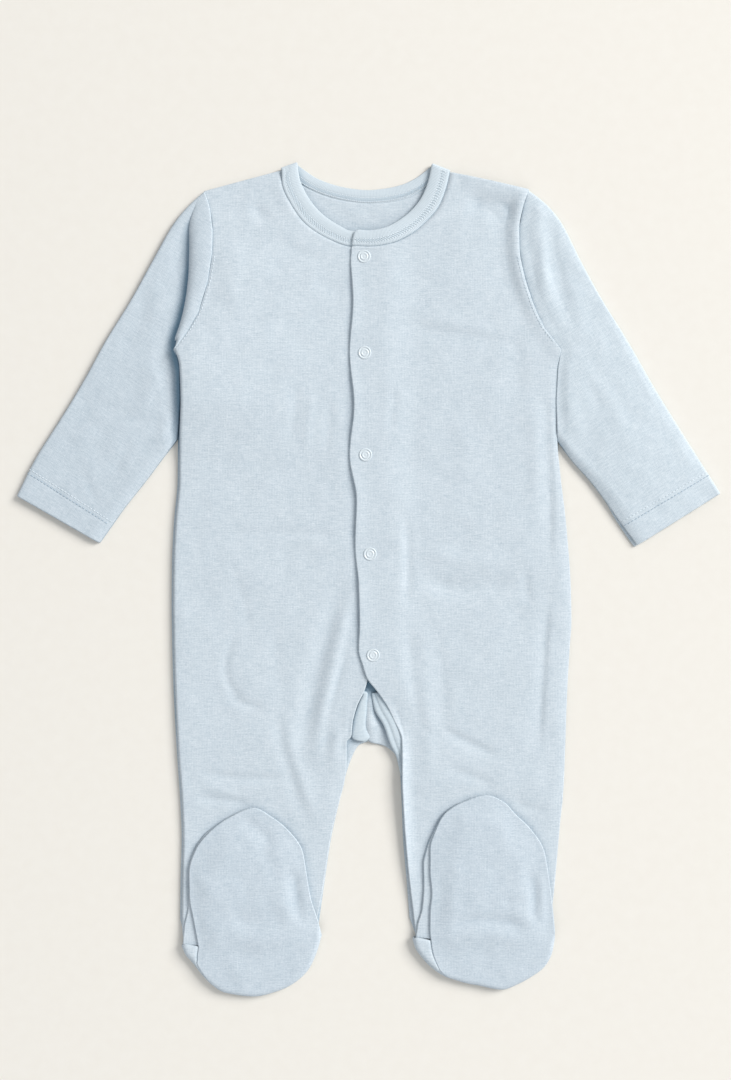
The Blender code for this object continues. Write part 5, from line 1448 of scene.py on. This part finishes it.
# The right row in the pale thread, a painted highlight; the left row in the plain cross thread.
for side, grid, paint in (("right", right_grid, highlight_thread), ("left", left_grid, tick_thread)):
    line, normal = line_on(grid.transpose(1, 0, 2), ARMHOLE_COLUMN)
    kept = (line[:, 1] > ARMHOLE_STITCHED[0]) & (line[:, 1] < ARMHOLE_STITCHED[1])
    seats = seats_along(line[kept], facing_up(normal)[kept], ARMHOLE_PITCH, CLOTH / 2 + THREAD_SUNK)
    stitches(f"{side}_armhole_stitches", seats, ARMHOLE_STITCH, ARMHOLE_THREAD, paint)

# Snaps: half of a turned profile, (radius, height).
SNAP_SIDES = 40
SNAP_SUNK = 0.6
SNAP_BASE = THIRD + CLOTH - SNAP_SUNK
SNAP_PROFILE = (
    (4.2, 0), (4.5, 0.25), (4.5, 0.5), (4.3, 0.72), (3.9, 0.82), (3.5, 0.72), (3.3, 0.5), (3, 0.42),
    (2.75, 0.5), (2.55, 0.74), (2.2, 0.86), (1.8, 0.8), (1.5, 0.62), (1.1, 0.56), (0.7, 0.66),
    (0.3, 0.72),
)


def snap(number, centre):
    """A ring snap: rings of points from its profile, turned about an upright axis."""
    radius, high = np.array(SNAP_PROFILE).T[..., None]
    turn = np.linspace(0, 2 * np.pi, SNAP_SIDES, endpoint=False)
    plan = np.stack([centre[0] + radius * np.cos(turn), centre[1] + radius * np.sin(turn)], axis=-1)
    ends = np.array([(*centre, SNAP_BASE), (*centre, SNAP_BASE + SNAP_PROFILE[-1][1])])
    points = np.concatenate([with_height(plan, SNAP_BASE + high).reshape(-1, 3), ends])
    index, after, walls = tube(len(SNAP_PROFILE), SNAP_SIDES)
    bottom, top = (np.full(SNAP_SIDES, len(points) - back_from) for back_from in (2, 1))
    under = np.stack([bottom, after[0], index[0], index[0]], axis=-1)
    over = np.stack([top, index[-1], after[-1], after[-1]], axis=-1)
    made = mesh_piece(f"ring_snap_{number}", points, np.concatenate([walls, under, over]),
                      snap_enamel)
    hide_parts(f"snap_{number}")


for number, centre in enumerate(SNAPS, start=1):
    snap(number, centre)

# Painted shade in hollows: cells of the plan grid, their blur, and the depths where the painted
# shade starts and is strongest. How strong each piece's painted shade is: (y, part).
DEPTH_CELL = 2.0
DEPTH_MARGIN = 20.0
DEPTH_BLUR = 5.6
DEPTH_START = 0.3
DEPTH_FULL = 3.3
DEPTH_BACK = (
    (-300, 0.6), (-124, 0.6), (-108, 1.1), (-88, 1.6), (-76, 1.3), (120, 1), (200, 0.3), (300, 0.3),
)
DEPTH_FRONT = ((-300, 0.4), (-150, 0.4), (-100, 1), (300, 1))
DEPTH_SLEEVE = ((-300, 1.6), (300, 1.6))
DEPTH_PLAIN = ((-300, 1), (300, 1))
DEPTH_STRIP = ((-300, 2), (300, 2))


def paint_hollow_shade(pieces):
    """Paint shade on each point by how far it lies under the blurred tops of the garment round it.

    The tops are the highest points over each cell of a plan grid, and their blur is a bell.
    """
    clouds = []
    for piece, _ in pieces:
        cloud = np.zeros(3 * len(piece.data.vertices), np.float32)
        piece.data.vertices.foreach_get("co", cloud)
        clouds.append(cloud.reshape(-1, 3) / MM)
    points = np.concatenate(clouds)
    corner = points[:, :2].min(axis=0) - DEPTH_MARGIN
    cells = ((points[:, :2] - corner) / DEPTH_CELL).astype(int)
    tops = np.zeros(cells.max(axis=0) + int(DEPTH_MARGIN / DEPTH_CELL))
    np.maximum.at(tops, tuple(cells.T), points[:, 2])
    round_it = np.stack([np.roll(tops, step, axis) for axis in range(2) for step in (-1, 1)])
    missed = (tops == 0) & ((round_it > 0).sum(axis=0) > 2)
    tops = np.where(missed, round_it.max(axis=0), tops)
    for axis in range(2):
        at = np.arange(tops.shape[axis]) * DEPTH_CELL / DEPTH_BLUR
        bell = np.exp(-((at[:, None] - at) ** 2))
        bell /= bell.sum(axis=1, keepdims=True)
        tops = np.moveaxis(np.tensordot(bell, tops, axes=(1, axis)), 0, axis)
    reach = (np.array(tops.shape) - 1) * DEPTH_CELL
    for (piece, parts), cloud in zip(pieces, clouds):
        place = (cloud[:, :2] - corner - DEPTH_CELL / 2) / reach
        painted_shade = on_grid(tops[..., None], place[:, 0], place[:, 1])[:, 0] - cloud[:, 2]
        painted_shade = (painted_shade - DEPTH_START) / DEPTH_FULL * section(cloud[:, 1], parts)
        # The amount of painted shade, which the knit reads to darken its colour.
        layer = piece.data.attributes.new("painted_shade", "FLOAT", "POINT")
        layer.data.foreach_set("value", np.clip(painted_shade, 0, 1).astype(np.float32))


paint_hollow_shade(((back_piece, DEPTH_BACK), (right_front, DEPTH_FRONT), (left_front, DEPTH_FRONT),
        (right_sleeve, DEPTH_SLEEVE), (left_sleeve, DEPTH_PLAIN), (binding, DEPTH_PLAIN),
        (stand, DEPTH_STRIP), (facing, DEPTH_STRIP), (right_sole, DEPTH_PLAIN),
        (left_sole, DEPTH_PLAIN)))

# The floor, the lights and the camera, in metres.
FLOOR_HALF = 2.0
corners = np.array([(-1, -1), (1, -1), (1, 1), (-1, 1)]) * FLOOR_HALF
floor_mesh = bpy.data.meshes.new("floor")
floor_mesh.from_pydata([(*corner, FLOOR_LOW * MM) for corner in corners], [], [(0, 1, 2, 3)])
floor_mesh.materials.append(paper("floor_paper"))
floor = bpy.data.objects.new("floor", floor_mesh)
bpy.context.scene.collection.objects.link(floor)

# Square soft lights that face the middle: (name, place, size, power, colour).
LAMPS = (("key", (5.53, 3.2, 4.15), 3.5, 668.0, (1.0, 0.985, 0.965)),
         ("fill", (-0.35, -1.15, 1.5), 2.0, 6.5, (0.95, 0.98, 1.0)))
SKY_COLOUR = (0.95, 0.97, 1.0, 1.0)
SKY_STRENGTH = 0.498
for name, place, size, power, colour in LAMPS:
    data = bpy.data.lights.new(name, "AREA")
    data.shape = "SQUARE"
    data.size = size
    data.energy = power
    data.color = colour
    made = bpy.data.objects.new(name, data)
    made.location = place
    made.rotation_euler = (-Vector(place)).to_track_quat("-Z", "Y").to_euler()
    bpy.context.scene.collection.objects.link(made)
world = bpy.data.worlds.new("studio")
bpy.context.scene.world = world
world.use_nodes = True
world.node_tree.nodes["Background"].inputs["Color"].default_value = SKY_COLOUR
world.node_tree.nodes["Background"].inputs["Strength"].default_value = SKY_STRENGTH

# The camera looks straight down. At PLANE_HIGH its longer side takes in PLANE_LENGTH.
CAMERA = (-0.0021, 0.0266, 0.804)
SENSOR = 36.0
PLANE_HIGH = 0.004
PLANE_LENGTH = 0.7387
camera_data = bpy.data.cameras.new("camera")
camera_data.sensor_fit = "AUTO"
camera_data.sensor_width = SENSOR
camera_data.lens = SENSOR * (CAMERA[2] - PLANE_HIGH) / PLANE_LENGTH
camera = bpy.data.objects.new("camera", camera_data)
camera.location = CAMERA
bpy.context.scene.collection.objects.link(camera)
bpy.context.scene.camera = camera
bpy.context.scene.view_settings.view_transform = "Standard"
